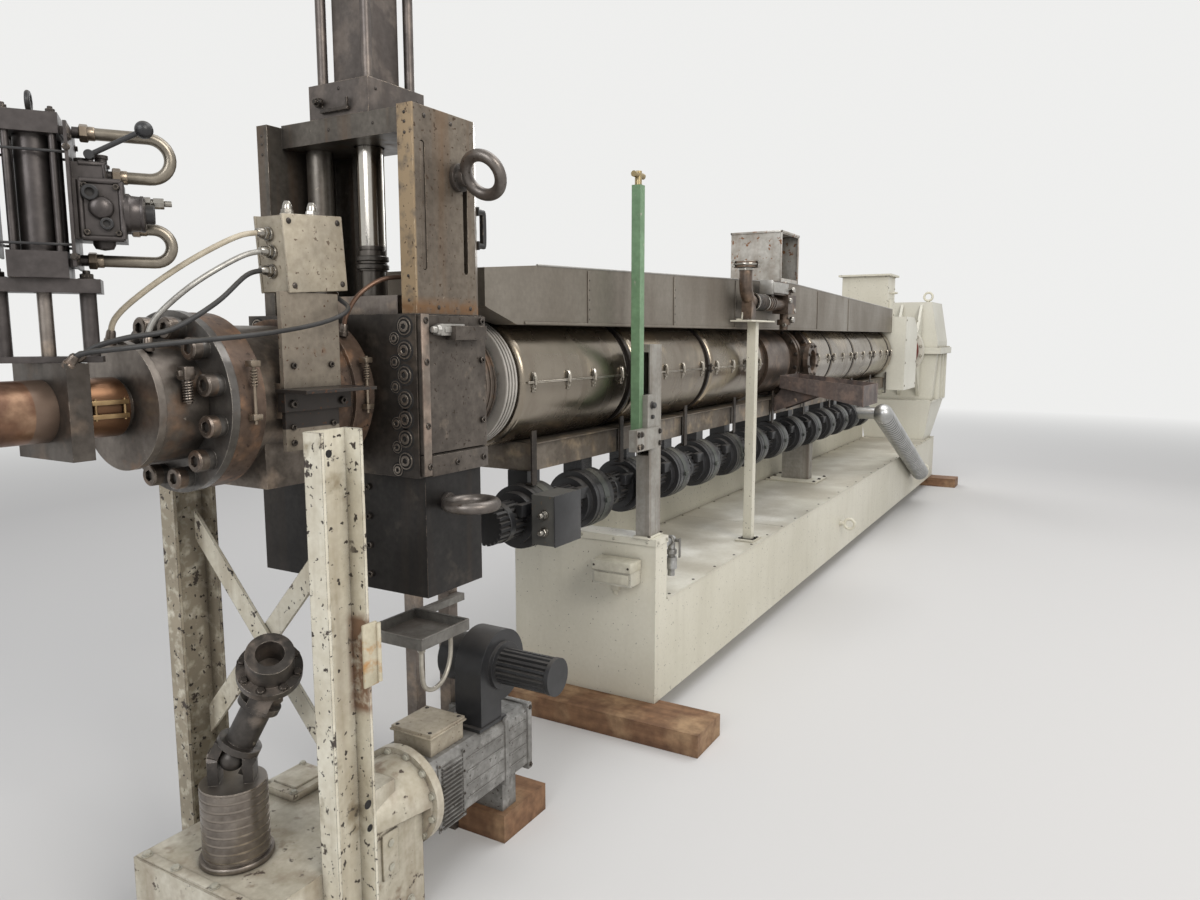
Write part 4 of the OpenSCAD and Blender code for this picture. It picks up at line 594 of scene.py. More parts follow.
# Geometry Nodes: groups are filled from labelled inputs, and the result is read back as a mesh
def newGroup(name, **labels):
    tree = bpy.data.node_groups.new(name, "GeometryNodeTree")
    shape = {"name": "Geometry", "socket_type": "NodeSocketGeometry"}
    tree.interface.new_socket(in_out="INPUT", **shape)
    keys = {label: tree.interface.new_socket(label, in_out="INPUT", socket_type="NodeSocket" + kind).identifier
            for label, kind in labels.items()}
    tree.interface.new_socket(in_out="OUTPUT", **shape)
    return tree, keys, put(tree, "NodeGroupInput").outputs


def endGroup(tree, shape, material):
    real = put(tree, "GeometryNodeRealizeInstances", {"Geometry": shape})
    done = put(tree, "GeometryNodeSetMaterial", {"Geometry": real.outputs[0], "Material": material})
    put(tree, "NodeGroupOutput", {0: done.outputs[0]})


def grow(name, points, group, values):
    tree, keys = group
    holder = linked(name + ".holder", points)
    modifier = holder.modifiers.new("grow", "NODES")
    modifier.node_group = tree
    for label, value in values.items():
        modifier[keys[label]] = value
    mesh = bpy.data.meshes.new_from_object(holder.evaluated_get(bpy.context.evaluated_depsgraph_get()))
    mesh.name = name
    bpy.data.objects.remove(holder)
    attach(linked(name, mesh), "machine")
    return mesh


# one part repeated on points that carry a direction, a side and a size
def makeCopiesGroup():
    tree, keys, start = newGroup("placedCopies", Part="Object", Spin="Float", Uneven="Float", Finish="Material")

    def named(label, kind):
        return put(tree, "GeometryNodeInputNamedAttribute", {"Name": label}, data_type=kind).outputs["Attribute"]

    def chance(seed):
        return put(tree, "FunctionNodeRandomValue", {"Seed": seed}, data_type="FLOAT").outputs[1]

    part = put(tree, "GeometryNodeObjectInfo", {"Object": start["Part"], "As Instance": True})
    aim = put(tree, "FunctionNodeAlignRotationToVector", {"Vector": named("aim", "FLOAT_VECTOR")}, axis="Z")
    turn = put(tree, "FunctionNodeAlignRotationToVector",
               {"Rotation": aim.outputs[0], "Vector": named("side", "FLOAT_VECTOR")}, axis="X", pivot_axis="Z")
    copies = put(tree, "GeometryNodeInstanceOnPoints",
                 {"Points": start["Geometry"], "Instance": part.outputs["Geometry"], "Rotation": turn.outputs[0],
                  "Scale": named("grow", "FLOAT")})
    about = put(tree, "ShaderNodeCombineXYZ", {"Z": sums(tree, "MULTIPLY", chance(11), start["Spin"])})
    spun = put(tree, "GeometryNodeRotateInstances", {"Instances": copies.outputs[0], "Rotation": about.outputs[0]})
    size = sums(tree, "MULTIPLY_ADD", chance(5), start["Uneven"], 1.0)
    scaled = put(tree, "GeometryNodeScaleInstances", {"Instances": spun.outputs[0], "Scale": size})
    endGroup(tree, scaled.outputs[0], start["Finish"])
    return tree, keys


copiesGroup = makeCopiesGroup()


def copies(name, part, places, look, spin=0.0, uneven=0.0, smooth=38.0):
    # places: (point in mm, direction, size) or (point, direction, size, side)
    source = linked(name + ".part", asMesh(name + ".part", part, smooth))
    points = bpy.data.meshes.new(name + ".points")
    points.from_pydata([[c * mm for c in p[0]] for p in places], [], [])
    for label, kind in (("aim", "FLOAT_VECTOR"), ("side", "FLOAT_VECTOR"), ("grow", "FLOAT")):
        points.attributes.new(label, kind, "POINT")
    for k, (point, aim, size, *side) in enumerate(places):
        points.attributes["aim"].data[k].vector = Vector(aim).normalized()
        points.attributes["side"].data[k].vector = Vector(side[0]) if side else Vector(aim).orthogonal()
        points.attributes["grow"].data[k].value = size
    grow(name, points, copiesGroup, {"Part": source, "Spin": spin, "Uneven": uneven, "Finish": materials[look]})
    bpy.data.objects.remove(source)


# a hose with rings, swept along a path
def makeHoseGroup():
    tree, keys, start = newGroup("ringedHose", Radius="Float", Height="Float", Pitch="Float", Finish="Material")
    line = put(tree, "GeometryNodeMeshToCurve", {"Mesh": start["Geometry"]})
    sixth = sums(tree, "DIVIDE", start["Pitch"], 6.0)
    even = put(tree, "GeometryNodeResampleCurve", {"Curve": line.outputs[0], "Length": sixth}, mode="LENGTH")
    along = put(tree, "GeometryNodeSplineParameter").outputs["Length"]
    angle = sums(tree, "MULTIPLY", sums(tree, "DIVIDE", along, start["Pitch"]), 2 * math.pi)
    radius = sums(tree, "MULTIPLY_ADD", sums(tree, "SINE", angle), start["Height"], start["Radius"])
    ring = put(tree, "GeometryNodeCurvePrimitiveCircle", {"Resolution": 20, "Radius": 1.0})
    tube = put(tree, "GeometryNodeCurveToMesh", {"Curve": even.outputs[0], "Profile Curve": ring.outputs[0],
                                                 "Fill Caps": True, "Scale": radius})
    endGroup(tree, tube.outputs[0], start["Finish"])
    return tree, keys


hoseGroup = makeHoseGroup()


def hose(name, path, radius, height, pitch, look):
    line = bpy.data.meshes.new(name + ".line")
    line.from_pydata([[c * mm for c in p] for p in path], [(k, k + 1) for k in range(len(path) - 1)], [])
    grow(name, line, hoseGroup, {"Radius": radius * mm, "Height": height * mm, "Pitch": pitch * mm,
                                 "Finish": materials[look]}).shade_smooth()


# fasteners, drawn with a head radius of about 10 mm and scaled in place
def socketHead():
    return [turned([(0, 4), (5.2, 4), (5.2, 9.2), (8.6, 9.2), (10, 8), (10, 0)], hexBelow=2)]


def hexHead():
    return [turned([(0, 1.9), (11.6, 1.9), (12.4, 1.2), (12.4, 0)], 20),
            turned([(0, 8.2), (8.2, 8.2), (9.6, 7.2), (9.6, 1.6)], 6)]


def hexNut():
    return [turned([(0, 1.9), (11.8, 1.9), (12.4, 1.2), (12.4, 0)], 20), turned([(8.2, 9), (9.6, 8), (9.6, 1.6)], 6),
            turned([(0, 14), (4.6, 14), (5.4, 13.2), (5.4, 1)], 14)]


def panHead():
    return [turned([(0, 4.6), (4.5, 4.3), (8, 3.0), (9.6, 1.0), (9.8, 0)], 16)]


def sunkHead():
    # a bright rim, a gap over the painted shade of the recess, and the head in it
    return [turned([(0, 1.2), (4.4, 1.2), (4.4, 3.4), (7.6, 3.4), (8.0, 3.0), (8.0, 0.6), (10.6, 0.6), (11.0, 1.8),
                    (12.6, 1.8), (13.0, 0)], hexBelow=2)]


# dark discs and socket under a sunk screw head: painted shade of its recess
def sunkHole():
    return [turned([(0, 0.45), (15.5, 0.45), (16, 0)]), turned([(0, 1.0), (10.5, 1.0), (10.5, 0)]),
            turned([(0, 1.6), (4.3, 1.6), (4.3, 0)], 6)]


def gland():
    return [turned([(0, 26), (5, 26), (6.2, 24), (8.2, 17), (8.4, 12), (0, 12)], 18),
            turned([(0, 12), (9.4, 12), (10.4, 11), (10.4, 5)], 6), turned([(0, 5), (11.5, 5), (12, 4), (12, 0)], 20)]


def each(values):
    return values if hasattr(values, "__iter__") else (values,)


def grid(aim, size, xs, ys, zs):
    # one place at every crossing of the given values
    return [((x, y, z), aim, size) for x in each(xs) for y in each(ys) for z in each(zs)]


def spots(aim, size, points):
    return [(p, aim, size) for p in points]


def onto(matrix, places):
    return [(matrix @ Vector(point), matrix.to_3x3() @ Vector(aim), size) for point, aim, size in places]


def screws(name, head, places, look="darkBolt", spin=6.0):
    copies(name, head(), places, look, spin)


# screen changer: screws of the block, the plates, the yoke and the heads
axisZ = 1404
changer = {"front": -1320, "side": -324, "x": -1142, "screw": 1.75, "smallScrew": 1.25, "plateScrew": 0.85,
           "columns": ((-273, 1575), (-272, 1515), (-270, 1453), (-269, 1390), (-268, 1340), (-267, 1290), (-266, 1233)),
           "inner": (1545, 1485, 1422, 1329, 1267, 1208), "tie": 81, "tieTop": 2866,
           "cover": ((-1304, 1590), (-1304, 1486), (-1304, 1324), (-1300, 1219), (-1076, 1590), (-1076, 1486),
                     (-1076, 1322), (-1076, 1219), (-1190, 1219)),
           "grip": ((-1021, 1801), (-992, 1801), (-984, 1809), (-984, 1884), (-992, 1892), (-1021, 1892))}


def dressChanger(c):
    x = c["x"]
    places = spots(front, c["screw"], [(c["front"], y, z) for y, z in c["columns"]])
    places += grid(front, c["smallScrew"], c["front"], -238, c["inner"])
    places += spots(front, c["screw"], [(c["front"], -y, z) for y, z in c["columns"]])
    screws("block_screws", sunkHead, places, "sunkScrew")
    # painted shade in the recesses of the block screws
    screws("block_recesses", sunkHole, places, "paintedHoleShade")
    side = spots(near, c["plateScrew"], [(sx, c["side"], z) for sx, z in c["cover"]])
    side += grid(far, c["plateScrew"], (-1290, -1185, -1080), 310, (1230, 1400, 1570))
    screws("cover_screws", socketHead, side)
    # lighter bar down the near edge of the cover, a seam across its foot, and the pressure sensor
    addPiece("cover_edge_bar", [plate((-1319, -329, 1196), (-1292, -323.8, 1606), 1.2)], "wornBar")
    addPiece("cover_foot_strip", [plate((-1290, -328, 1192), (-1056, -323.8, 1246), 1.2)], "coverPlate")
    sensor = (-1262, -334, 1567)
    addPiece("sensor_block", plates(((-1262, -344, 1552), (-1168, -323.8, 1582), 2), ((-1250, -347, 1560), (-1180, -343, 1574)))
             + [turned([(0, 26), (7, 26), (9, 22), (9, 0)], 18, sensor, front),
                turned([(0, 12), (13, 12), (14, 10), (14, 0)], 6, sensor, front)], "sensorSteel")
    # screws in the edges of the side plates and the beam, and on the heads
    edge = grid(front, 0.42, -1315, -286, (2092, 2070, 2044, 1700, 1640))
    edge += grid(front, 0.42, -1300, 244, (2096, 2074, 2046)) + grid(front, 0.45, -1250, (-120, 40), 2099)
    edge += spots(near, 0.6, [(-1168, -310, 2090), (-1100, -310, 1624), (-1230, -310, 1624), (-1270, -310, 2090)])
    edge += spots(front, 0.5, [(-1250, -2, 2200), (-1250, 60, 2160)]) + grid(near, 0.5, (x - 80, x + 80), -108, 2192)
    screws("yoke_screws", panHead, edge)
    tie = c["tie"]
    screws("tie_rod_nuts", hexNut, grid(up, 2.1, (x - tie, x + tie), (-tie, tie), c["tieTop"]))
    # small valve and its bracket on the lower head
    spot = (-1250, 66, 2170)
    addPiece("head_fitting", plates(((-1262, -44, 2141), (-1250, 58, 2150)), ((-1262, -44, 2150), (-1256, -36, 2172)))
             + [turned([(0, 24), (6, 24), (8, 20), (8, 0)], 14, spot, front),
                turned([(0, 14), (12, 14), (13, 12), (13, 0)], 6, spot, front),
                turned([(0, 20), (5, 20), (5, 0)], 12, (-1262, 66, 2170), near)], "darkBolt")
    profile = [(34, 0), (43, 0), (45, 2), (45, 12), (43, 14), (34, 14)]
    addPiece("rod_coupling_rings", [turned(profile, 48, (x, 0, z), ring=True) for z in (1736, 1758)], "couplingBlack",
             "changer_slide")
    # filled first slot of the side plate, the handle on its edge, and screws of the lower guide
    addPiece("slot_floor", [plate((-1289, -308.8, 1716), (-1271, -266, 2029), 3)], "towerSteel")
    addPiece("edge_handle", [swept(curved([(gx, -270, gz) for gx, gz in c["grip"]], 4), 8, 12)]
             + [plate((-1022, -282, z), (-1016, -262, z + 24), 1.5) for z in (1788, 1880)], "castBlack")
    screws("guide_screws", socketHead, grid(front, 0.9, -1300, (-112, 112), (910, 990, 1070, 1150)))


dressChanger(changer)
print("screen changer dressed")

# discharge line: big socket screws, band clamps, junction box, which leans by four degrees
discharge = {"flangeFront": -1797, "pitchRadius": 170, "screw": 2.42, "band": 200, "neck": (-1838, -142),
             "boxCorner": (-1614, -201, axisZ + 246), "boxLean": -4}


def bandClamp(x, z, y, long):
    # two lugs with a long screw and its spring, on the operator's side of a band
    lugs = [plate((x - 12, y - 16, m - 7), (x + 12, y + 8, m + 7), 2) for m in (z - long / 2, z + long / 2)]
    return lugs + [rod(4, long + 26, 12, (x, y - 6, z - long / 2 - 16)),
                   coil(x, y - 6, z + long / 2 - 50, 7.5, 6.2, 60, 1.6)]


def dressDischarge(d):
    heads = circleOf((d["flangeFront"], 0, axisZ), "x", d["pitchRadius"], 12, 15)
    screws("flange_screws", socketHead, spots(front, d["screw"], heads), "screwSteel")
    clamps = [bandClamp(x, axisZ + 30, -d["band"] - 2, 116) for x in (-1725, -1390)]
    addPiece("band_clamps", sum(clamps, []), "unionSteel")
    # the copper sleeve's clamp: two strips on two posts
    addPiece("sleeve_clamp", [plate((-1998, -70, z - 5), (-1922, -54, z + 5), 1.5) for z in (axisZ + 14, axisZ - 14)]
             + [rod(3.4, 44, 10, (x, -66, axisZ - 22)) for x in (-1990, -1930)], "sleeveBrass")
    # thermocouple with a spring on the neck
    x, y = d["neck"]
    addPiece("neck_thermocouple", [coil(x, y, axisZ + 8, 9, 5.6, 80, 2.2), rod(7, 56, 12, (x, y, axisZ + 6)),
                                   plate((x - 12, y - 10, axisZ + 56), (x + 12, y + 18, axisZ + 84), 3),
                                   plate((x - 20, y - 2, axisZ + 64), (x + 20, y + 8, axisZ + 76), 2)], "screwSteel")
    # lid, screws and glands of the junction box, heads of its bracket plate
    lean = Matrix.Translation(d["boxCorner"]) @ Matrix.Rotation(math.radians(d["boxLean"]), 4, "Y")
    lid = plates(((-3, -6, -3), (173, 2, 171), 2.5), ((-2, 84, -2), (172, 90, 170), 1))
    addPiece("junction_lid", carried(lean, lid), "boxGrey")
    corners = [lean @ Vector((x, -6, z)) for x in (13, 157) for z in (13, 155)]
    screws("junction_screws", panHead, spots(near, 0.72, corners))
    glands = spots((-1, 0, 0.07), 1.35, [lean @ Vector(p) for p in ((0, 46, 128), (0, 40, 88), (0, 46, 46))])
    glands += spots((0.07, 0, 1), 1.35, [lean @ Vector((x, 42, 168)) for x in (52, 124)])
    screws("junction_glands", gland, glands, "brightFitting", 3.0)
    bolts = grid(near, 0.9, (-1628, -1480), -213, axisZ - 6)
    bolts += grid(near, 0.7, (-1620, -1500), -201, (axisZ - 60, axisZ - 96))
    screws("bracket_screws", socketHead, bolts + grid(near, 0.7, (-1612, -1500), -201, axisZ + 80))


dressDischarge(discharge)

# gate valve's cylinder, turned about its own axis; all places here are in its own frame
valve = {"x": -2035, "turn": -35, "headZ": 1661, "capZ": 1966,
         "unions": ((78, 22, 1700), (158, 22, 1766), (78, 18, 1945), (130, 18, 1865)),
         "ports": (((186, -26, 1790), back, 1.9), ((95, -55, 1822), near, 1.5), ((120, -55, 1765), near, 1.2),
                   ((80, -10, 1880), up, 1.3), ((106, 8, 1880), up, 1.0)),
         "loops": ((162, 22, 1700, 1766), (136, 18, 1945, 1865)),
         "rim": ((78, -54, 1738), (147, -54, 1738), (147, -54, 1845), (78, -54, 1845)),
         "coupling": ((0, 20, 12), (20, 24, 9), (24, 46, 12.5), (46, 50, 9), (50, 70, 11), (70, 84, 6))}


def union():
    return [turned([(0, 9), (9.2, 9), (10.4, 8), (10.4, 1), (9.2, 0), (0, 0)], 6),
            turned([(0, 16), (7.4, 16), (8, 15), (8, 9), (0, 9)], 16)]


def port():
    return [turned([(0, 3), (5.6, 3), (5.6, 9), (8.8, 9), (10, 7.8), (10, 0)])]


def dressValve(v):
    turn = Matrix.Translation((v["x"], 0, 0)) @ Matrix.Rotation(math.radians(v["turn"]), 4, "Z")
    nuts = grid(up, 0.85, (-38, 38), (-38, 38), v["capZ"]) + grid(up, 1.3, (-74, 74), 0, v["headZ"])
    screws("valve_rod_nuts", hexNut, onto(turn, nuts))
    screws("hose_unions", union, onto(turn, spots(back, 1.7, v["unions"])), "unionSteel", 1.0)
    screws("valve_ports", port, onto(turn, v["ports"]), "castBlack", 1.0)
    # bright pipe over each loop
    pipes = []
    for end, y, low, high in v["loops"]:
        half, middle = (high - low) / 2, (high + low) / 2
        arc = [(196 + abs(half) * math.cos(t), y, middle + half * math.sin(t))
               for t in [(k - 8) * math.pi / 16 for k in range(17)]]
        pipes.append(swept([(98, y, low)] + arc + [(end, y, high)], 11.8, 18))
    addPiece("valve_pipes", carried(turn, pipes), "hosePipe")
    # cast ribs, collar and bosses of the manifold
    rim = v["rim"]
    casting = [swept([a, b], 6, 10) for a, b in zip(rim, rim[1:] + rim[:1])]
    casting += [swept([(78, y, 1846), (120, y, 1846), (120, y, 1878), (78, y, 1878)], 5, 8) for y in (-44, 33)]
    casting += [turned([(38, 0), (38, 9), (34.5, 13), (33.6, 27), (35, 29), (35, 34), (28, 37), (0, 37)], 36,
                       (150, -26, 1790), back),
                turned([(22, 0), (22, 5), (18, 11), (9, 14), (0, 14.5)], 28, (112, -55, 1795), near),
                turned([(15, 0), (15, 5), (11, 8), (11, 16), (13, 17), (13, 24), (0, 24)], 20, (112, 14, 1880), up),
                turned([(20, 0), (20, 6), (16, 14), (0, 17)], 24, (110, -8, 1735), down)]
    addPiece("manifold_casting", carried(turn, casting), "castEye")
    screws("manifold_screws", socketHead, onto(turn, grid(near, 0.55, (86, 139), -58, (1748, 1835))))
    heads = grid(near, 0.55, 63, -76, (1700, 1900)) + grid(back, 0.6, 66.2, (-62, 50), (1700, 1920))
    screws("valve_plate_screws", hexHead, onto(turn, heads))
    coupling = [turned([(0, a), (r - 1, a), (r, a + 1), (r, b - 1), (r - 1, b), (0, b)], 18 if k % 2 else 8,
                       (150, 2, 1815), (1, 0, 0.02)) for k, (a, b, r) in enumerate(v["coupling"])]
    addPiece("quick_coupling", carried(turn, coupling), "brightFitting")
    # clamps round the cylinder, its side plate, and the eye on the cap
    clamps = []
    for z in (1722, 1894):
        clamps += plates(((-62, -46, z), (60, -42, z + 5)), ((-62, 42, z), (60, 46, z + 5)),
                         ((-66, -46, z), (-62, 46, z + 5)))
    clamps.append(plate((-74, -58, 1700), (-68, 58, 1930), 2))
    clamps += [hoop((0, 0, v["capZ"] + 24), "x", 17, 5, 12),
               turned([(0, 0), (11, 0), (11, 5), (7, 8), (0, 8)], 18, (0, 0, v["capZ"]))]
    addPiece("valve_clamps", carried(turn, clamps), "castBlack")


dressValve(valve)
print("discharge line dressed")

# barrel covers: seam strips and toggle latches on both sides, clamp bands with their screws
covers = {"spans": ((-730, 715), (45, 715), (820, 715), (2550, 368), (2946, 590), (3564, 590), (4182, 590), (4800, 142)),
          "gaps": (15, 790, 2932, 3550, 4168, 4786), "radius": 222, "latch": 0.72,
          "bow": ((-9, 6, 26), (-10, 7, 0), (-9, 5, -24), (0, 5, -30), (9, 5, -24), (10, 7, 0), (9, 6, 26))}


def latchParts(c):
    lever = swept([(0, 3, 40), (0, 8, 30), (0, 11, 12), (0, 9, -6), (0, 14, -14)], [7, 8, 8, 7, 5], 8)
    knobs = [turned([(0, 3), (3, 3), (4, 0)], 10, (x, 0.5, z), far) for x, z in ((-8, 40), (8, 40), (-7, -40), (7, -40))]
    return [plate((-13, -2, 8), (13, 0.5, 44)), lever, swept(curved(c["bow"], 4), 1.8, 6),
            plate((-12, -2, -44), (12, 0.5, -18)), swept([(-9, 3, -28), (9, 3, -28)], 4, 8)] + knobs


def dressCovers(c):
    seams, latches = [], []
    for start, length in c["spans"]:
        for s in (-1, 1) if length > 200 else ():
            low, high = sorted((s * (c["radius"] - 3), s * (c["radius"] + 7)))
            for z in (0.6, -3.4):
                seams.append(plate((start + 20, low, axisZ + z), (start + length - 20, high, axisZ + z + 2.8), 0.6, 1))
        along = [60, length - 60]
        if length < 200:
            along = [length / 2]
        elif length > 400:
            along[1:1] = [270, length - 270] if length > 600 else [length / 2]
        latches += [((start + x, s * (c["radius"] + 0.5), axisZ), up, c["latch"], (s, 0, 0)) for x in along for s in (-1, 1)]
    addPiece("cover_seams", seams, "latchSteel")
    copies("cover_latches", latchParts(c), latches, "latchSteel", uneven=0.06)
    # the bands are open rings, closed inside by the strap below them
    profile = [(211, -8), (218.5, -8), (220.6, -6), (220.6, 6), (218.5, 8), (211, 8)]
    addPiece("clamp_bands", [turned(profile, 72, (x, 0, axisZ), back, True) for x in c["gaps"]], "darkStrap")
    lugs = []
    for x in c["gaps"]:
        lugs += plates(((x - 9, -238, axisZ + 8), (x + 9, -216, axisZ + 14)), ((x - 9, -238, axisZ - 14), (x + 9, -216, axisZ - 8)))
        lugs.append(rod(4, 44, 10, (x, -230, axisZ - 22)))
    addPiece("band_lugs", lugs, "darkStrap")


dressCovers(covers)
print("covers dressed")

# drive: motor louvres, joint band and screws, flange bolts, casting on the base, plates of the stand
drive = {"motorSide": -305, "motorTop": 403, "louvres": [204 + 12.5 * k for k in range(15)], "flange": (-1318, -200, 298),
         "section": ((0, 0), (-7, -1.5), (-8, -3.5), (-1.5, -1.2), (0, -8)), "sleeve": (-1720, -53),
         "hub": (-1659.7, -124.8, 730.1), "hubLean": (-0.377821, -0.520026, 0.766044)}


def slat(section):
    # one louvre, 84 mm long, lip outwards
    shape = bmesh.new()
    a, b = [[shape.verts.new((x, y, z)) for y, z in section] for x in (-42, 42)]
    for k in range(len(section)):
        j = (k + 1) % len(section)
        shape.faces.new((a[k], a[j], b[j], b[k]))
    shape.faces.new(a[::-1])
    shape.faces.new(b)
    return [closed(shape)]


def dressDrive(d):
    y, top = d["motorSide"], d["motorTop"]
    slats = [((-1218, sy, z), up, 1.0, (s, 0, 0)) for sy, s in ((y, 1), (-95, -1)) for z in d["louvres"]]
    copies("motor_louvres", slat(d["section"]), slats, "motorGrey", smooth=20)
    frames = plates(((-1276, y - 3, 195), (-1266, y + 1, 396)), ((-1170, y - 3, 195), (-1160, y + 1, 396)),
                    ((-968, y - 4, 190), (-952, -91, 407), 1.5), ((-850, y - 5, 190), (-828, -90, 408), 3),
                    ((-1270, y - 3, 199), (-1168, y + 1, 203)))
    frames += [plate((low, y - 2.5, z), (high, y + 1, z + 5), 1, 1) for z in (236, 276, 316, 356)
               for low, high in ((-1150, -976), (-944, -858))]
    frames += [hoop((-1063, -200, top + 22), "y", 15, 4.6, 10),
               turned([(0, 9), (9, 9), (12, 6), (12, 0), (0, 0)], 16, (-1063, -200, top))]
    addPiece("motor_bands", frames, "motorGrey")
    heads = grid(near, 0.62, -839, y - 5, (204, 394)) + grid(near, 0.34, (-1271, -1165), y - 3, (206, 262, 330, 388))
    screws("motor_screws", hexHead, heads + grid(back, 0.7, -828, (-288, -112), (210, 386)))
    screws("drive_flange_bolts", hexHead, spots(front, 1.0, circleOf(d["flange"], "x", 124, 12, 15)), "paintedBolt")
    # machined pad with a rim, plates and bolts on the gear unit
    pads = plates(((-1488, 18, 298), (-1338, 150, 321), 5), ((-1462, 40, 318), (-1364, 128, 327), 3),
                  ((-1846, -285, 299), (-1820, 155, 305), 2), ((-1354, -285, 299), (-1328, 155, 305), 2))
    addPiece("drive_pads", pads, "gearcasePaint")
    heads = grid(up, 0.85, (-1476, -1350), (30, 138), 321) + grid(up, 1.0, (-1833, -1341), (-262, -120, 20, 130), 305)
    heads += grid(near, 1.15, -1452, -289.7, (262, 196)) + grid(near, 1.15, -1800, -289.7, (250, 60))
    screws("drive_case_bolts", hexHead, heads + grid(near, 1.15, -1380, -289.7, 60), "paintedBolt")
    addPiece("drive_side_plates", plates(((-1480, -296, 168), (-1424, -288.5, 292), 2),
                                         ((-1838, -295, 30), (-1560, -288.5, 38))), "gearcasePaint")
    # grooved sleeve on the shaft's barrel and the bolts of its hub
    sx, sy = d["sleeve"]
    sleeve = [turned([(75, 0), (77.4, 1), (77.4, 15), (75, 16)], 48, (sx, sy, 306 + 21 * k), ring=True) for k in range(9)]
    sleeve.append(turned([(74, 0), (84, 1), (86, 4), (86, 12), (84, 15), (74, 16)], 48, (sx, sy, 300), ring=True))
    addPiece("shaft_sleeve", sleeve, "sleeveSteel")
    hub, lean = Vector(d["hub"]), Vector(d["hubLean"])
    flat = lean.orthogonal().normalized()
    other = lean.cross(flat)
    rim = [63 * (math.cos(a) * flat + math.sin(a) * other) for a in [math.radians(30 + 45 * k) for k in range(8)]]
    bolts = spots(lean, 0.95, [hub + lean * 74 + p for p in rim]) + spots(-lean, 0.8, [hub + lean * 50 + p for p in rim])
    screws("hub_bolts", hexHead, bolts)
    # hinge plate, painted shade in the holes, and foot bolts of the stand
    addPiece("stand_hinge", [plate((-1574, -351, 730), (-1529, -344, 884), 2),
                             swept([(-1527, -352, 735), (-1527, -352, 879)], 6, 12)], "hingePaint")
    # raised near-black discs where the stand's holes are: painted shade in the holes
    hole = [turned([(0, 0.5), (8.6, 0.5), (10, 1.6), (11.2, 0.6), (11.2, 0)], 20)]
    holes = [((x, -345, z), near, size) for x, z, size in ((-1574, 441, 1.0), (-1570, 379, 0.8), (-1651, 1296, 0.8),
                                                           (-1651, 120, 1.0))]
    copies("stand_holes", hole, holes, "paintedHoleShade")
    screws("stand_bolts", hexHead, grid(up, 0.9, (-1676, -1544), -352, 10))


dressDrive(drive)
print("drive and stand dressed")

# vent line, chimney rim, hood seams
vent = {"elbowX": 1090, "y": -280, "z": 1722, "collars": (1186, 1332),
        "knobs": (((1700, -300, 1800), near, 1.3), ((1652, -300, 1742), near, 1.2), ((1748, -300, 1690), near, 1.0),
                  ((1700, -296, 1640), near, 1.4), ((1676, -296, 1612), front, 1.0), ((1700, -280, 1812), up, 1.2),
                  ((1650, -280, 1800), back, 0.9), ((1770, -280, 1722), back, 1.1)),
        "gusset": ((1100, -262, 1630), (1180, -262, 1630), (1146, -262, 1668), (1112, -262, 1676))}


def dressVent(v):
    x, y, z = v["elbowX"], v["y"], v["z"]
    clamp = [turned([(58, 0), (64, 1.5), (65.5, 5), (64, 11), (58, 12)], 40, (x, y, 1889), ring=True),
             annulus(28, 60, 4, 40, (x, y, 1907)), annulus(33, 36, 12, 30, (x, y, 1868))]
    for cx, cy, _ in circleOf((x, y, 0), "z", 68, 3, 20):
        clamp += [rod(4.5, 30, 12, (cx, cy, 1886)), rod(9, 8, 6, (cx, cy, 1904)), rod(9, 7, 6, (cx, cy, 1882))]
    addPiece("elbow_clamp", clamp, "brightFitting")
    hose("vent_hose", [(1196, y, z), (1330, y, z)], 39.5, 3.2, 17, "hoseRubber")
    addPiece("hose_collars", [annulus(38, 44, 12, 32, (cx, y, z), back) for cx in v["collars"]], "brightFitting")
    # control box lid, knobs and fittings on the valve stack
    addPiece("vent_box_lid", plates(((1388, y - 38, 1765), (1396, y + 34, 1839), 1.5),
                                    ((1396, y - 41, 1775), (1640, y - 35, 1830), 1.5)), "sensorSteel")
    knob = [turned([(0, 0), (5, 0), (5, 10), (10, 12), (11, 14), (11, 24), (9.5, 26), (0, 26)], 18)]
    copies("vent_knobs", knob, v["knobs"], "brightFitting", 6.0, 0.15)
    screws("vent_flange_nuts", hexNut, spots(near, 0.9, circleOf((2345, -262, axisZ), "y", 92, 8, 22.5)))
    gusset = bmesh.new()
    face = gusset.faces.new([gusset.verts.new(p) for p in v["gusset"]])
    for extra in bmesh.ops.extrude_face_region(gusset, geom=[face])["geom"]:
        if isinstance(extra, bmesh.types.BMVert):
            extra.co.y += 6
    addPiece("stand_plate_gusset", [closed(gusset), plate((1050, -262, 1629.5), (1240, -250, 1636))], "creamBase")
    screws("vent_stand_bolts", hexHead, grid(up, 0.7, (1075, 1375), (-300, -236), 1630))
    # folded rim of the chimney
    rim = [plate(low, high, 1.5) for low, high in (((1834, -214, 2130), (2162, -206, 2142)), ((1834, 86, 2130), (2162, 94, 2142)),
                                                   ((1834, -214, 2130), (1842, 94, 2142)), ((2154, -214, 2130), (2162, 94, 2142)))]
    rim += [plate((cx, -212, 1860), (cx + 8, -204, 2136)) for cx in (2152, 1836)]
    addPiece("chimney_rim", rim, "chimneySteel")


dressVent(vent)
hood = {"seams": (-300, 420, 1140, 2600, 3400), "side": 209, "peak": 2029,
        "roof": ((-625, 1777), (2029, 1859), (4938, 1785))}


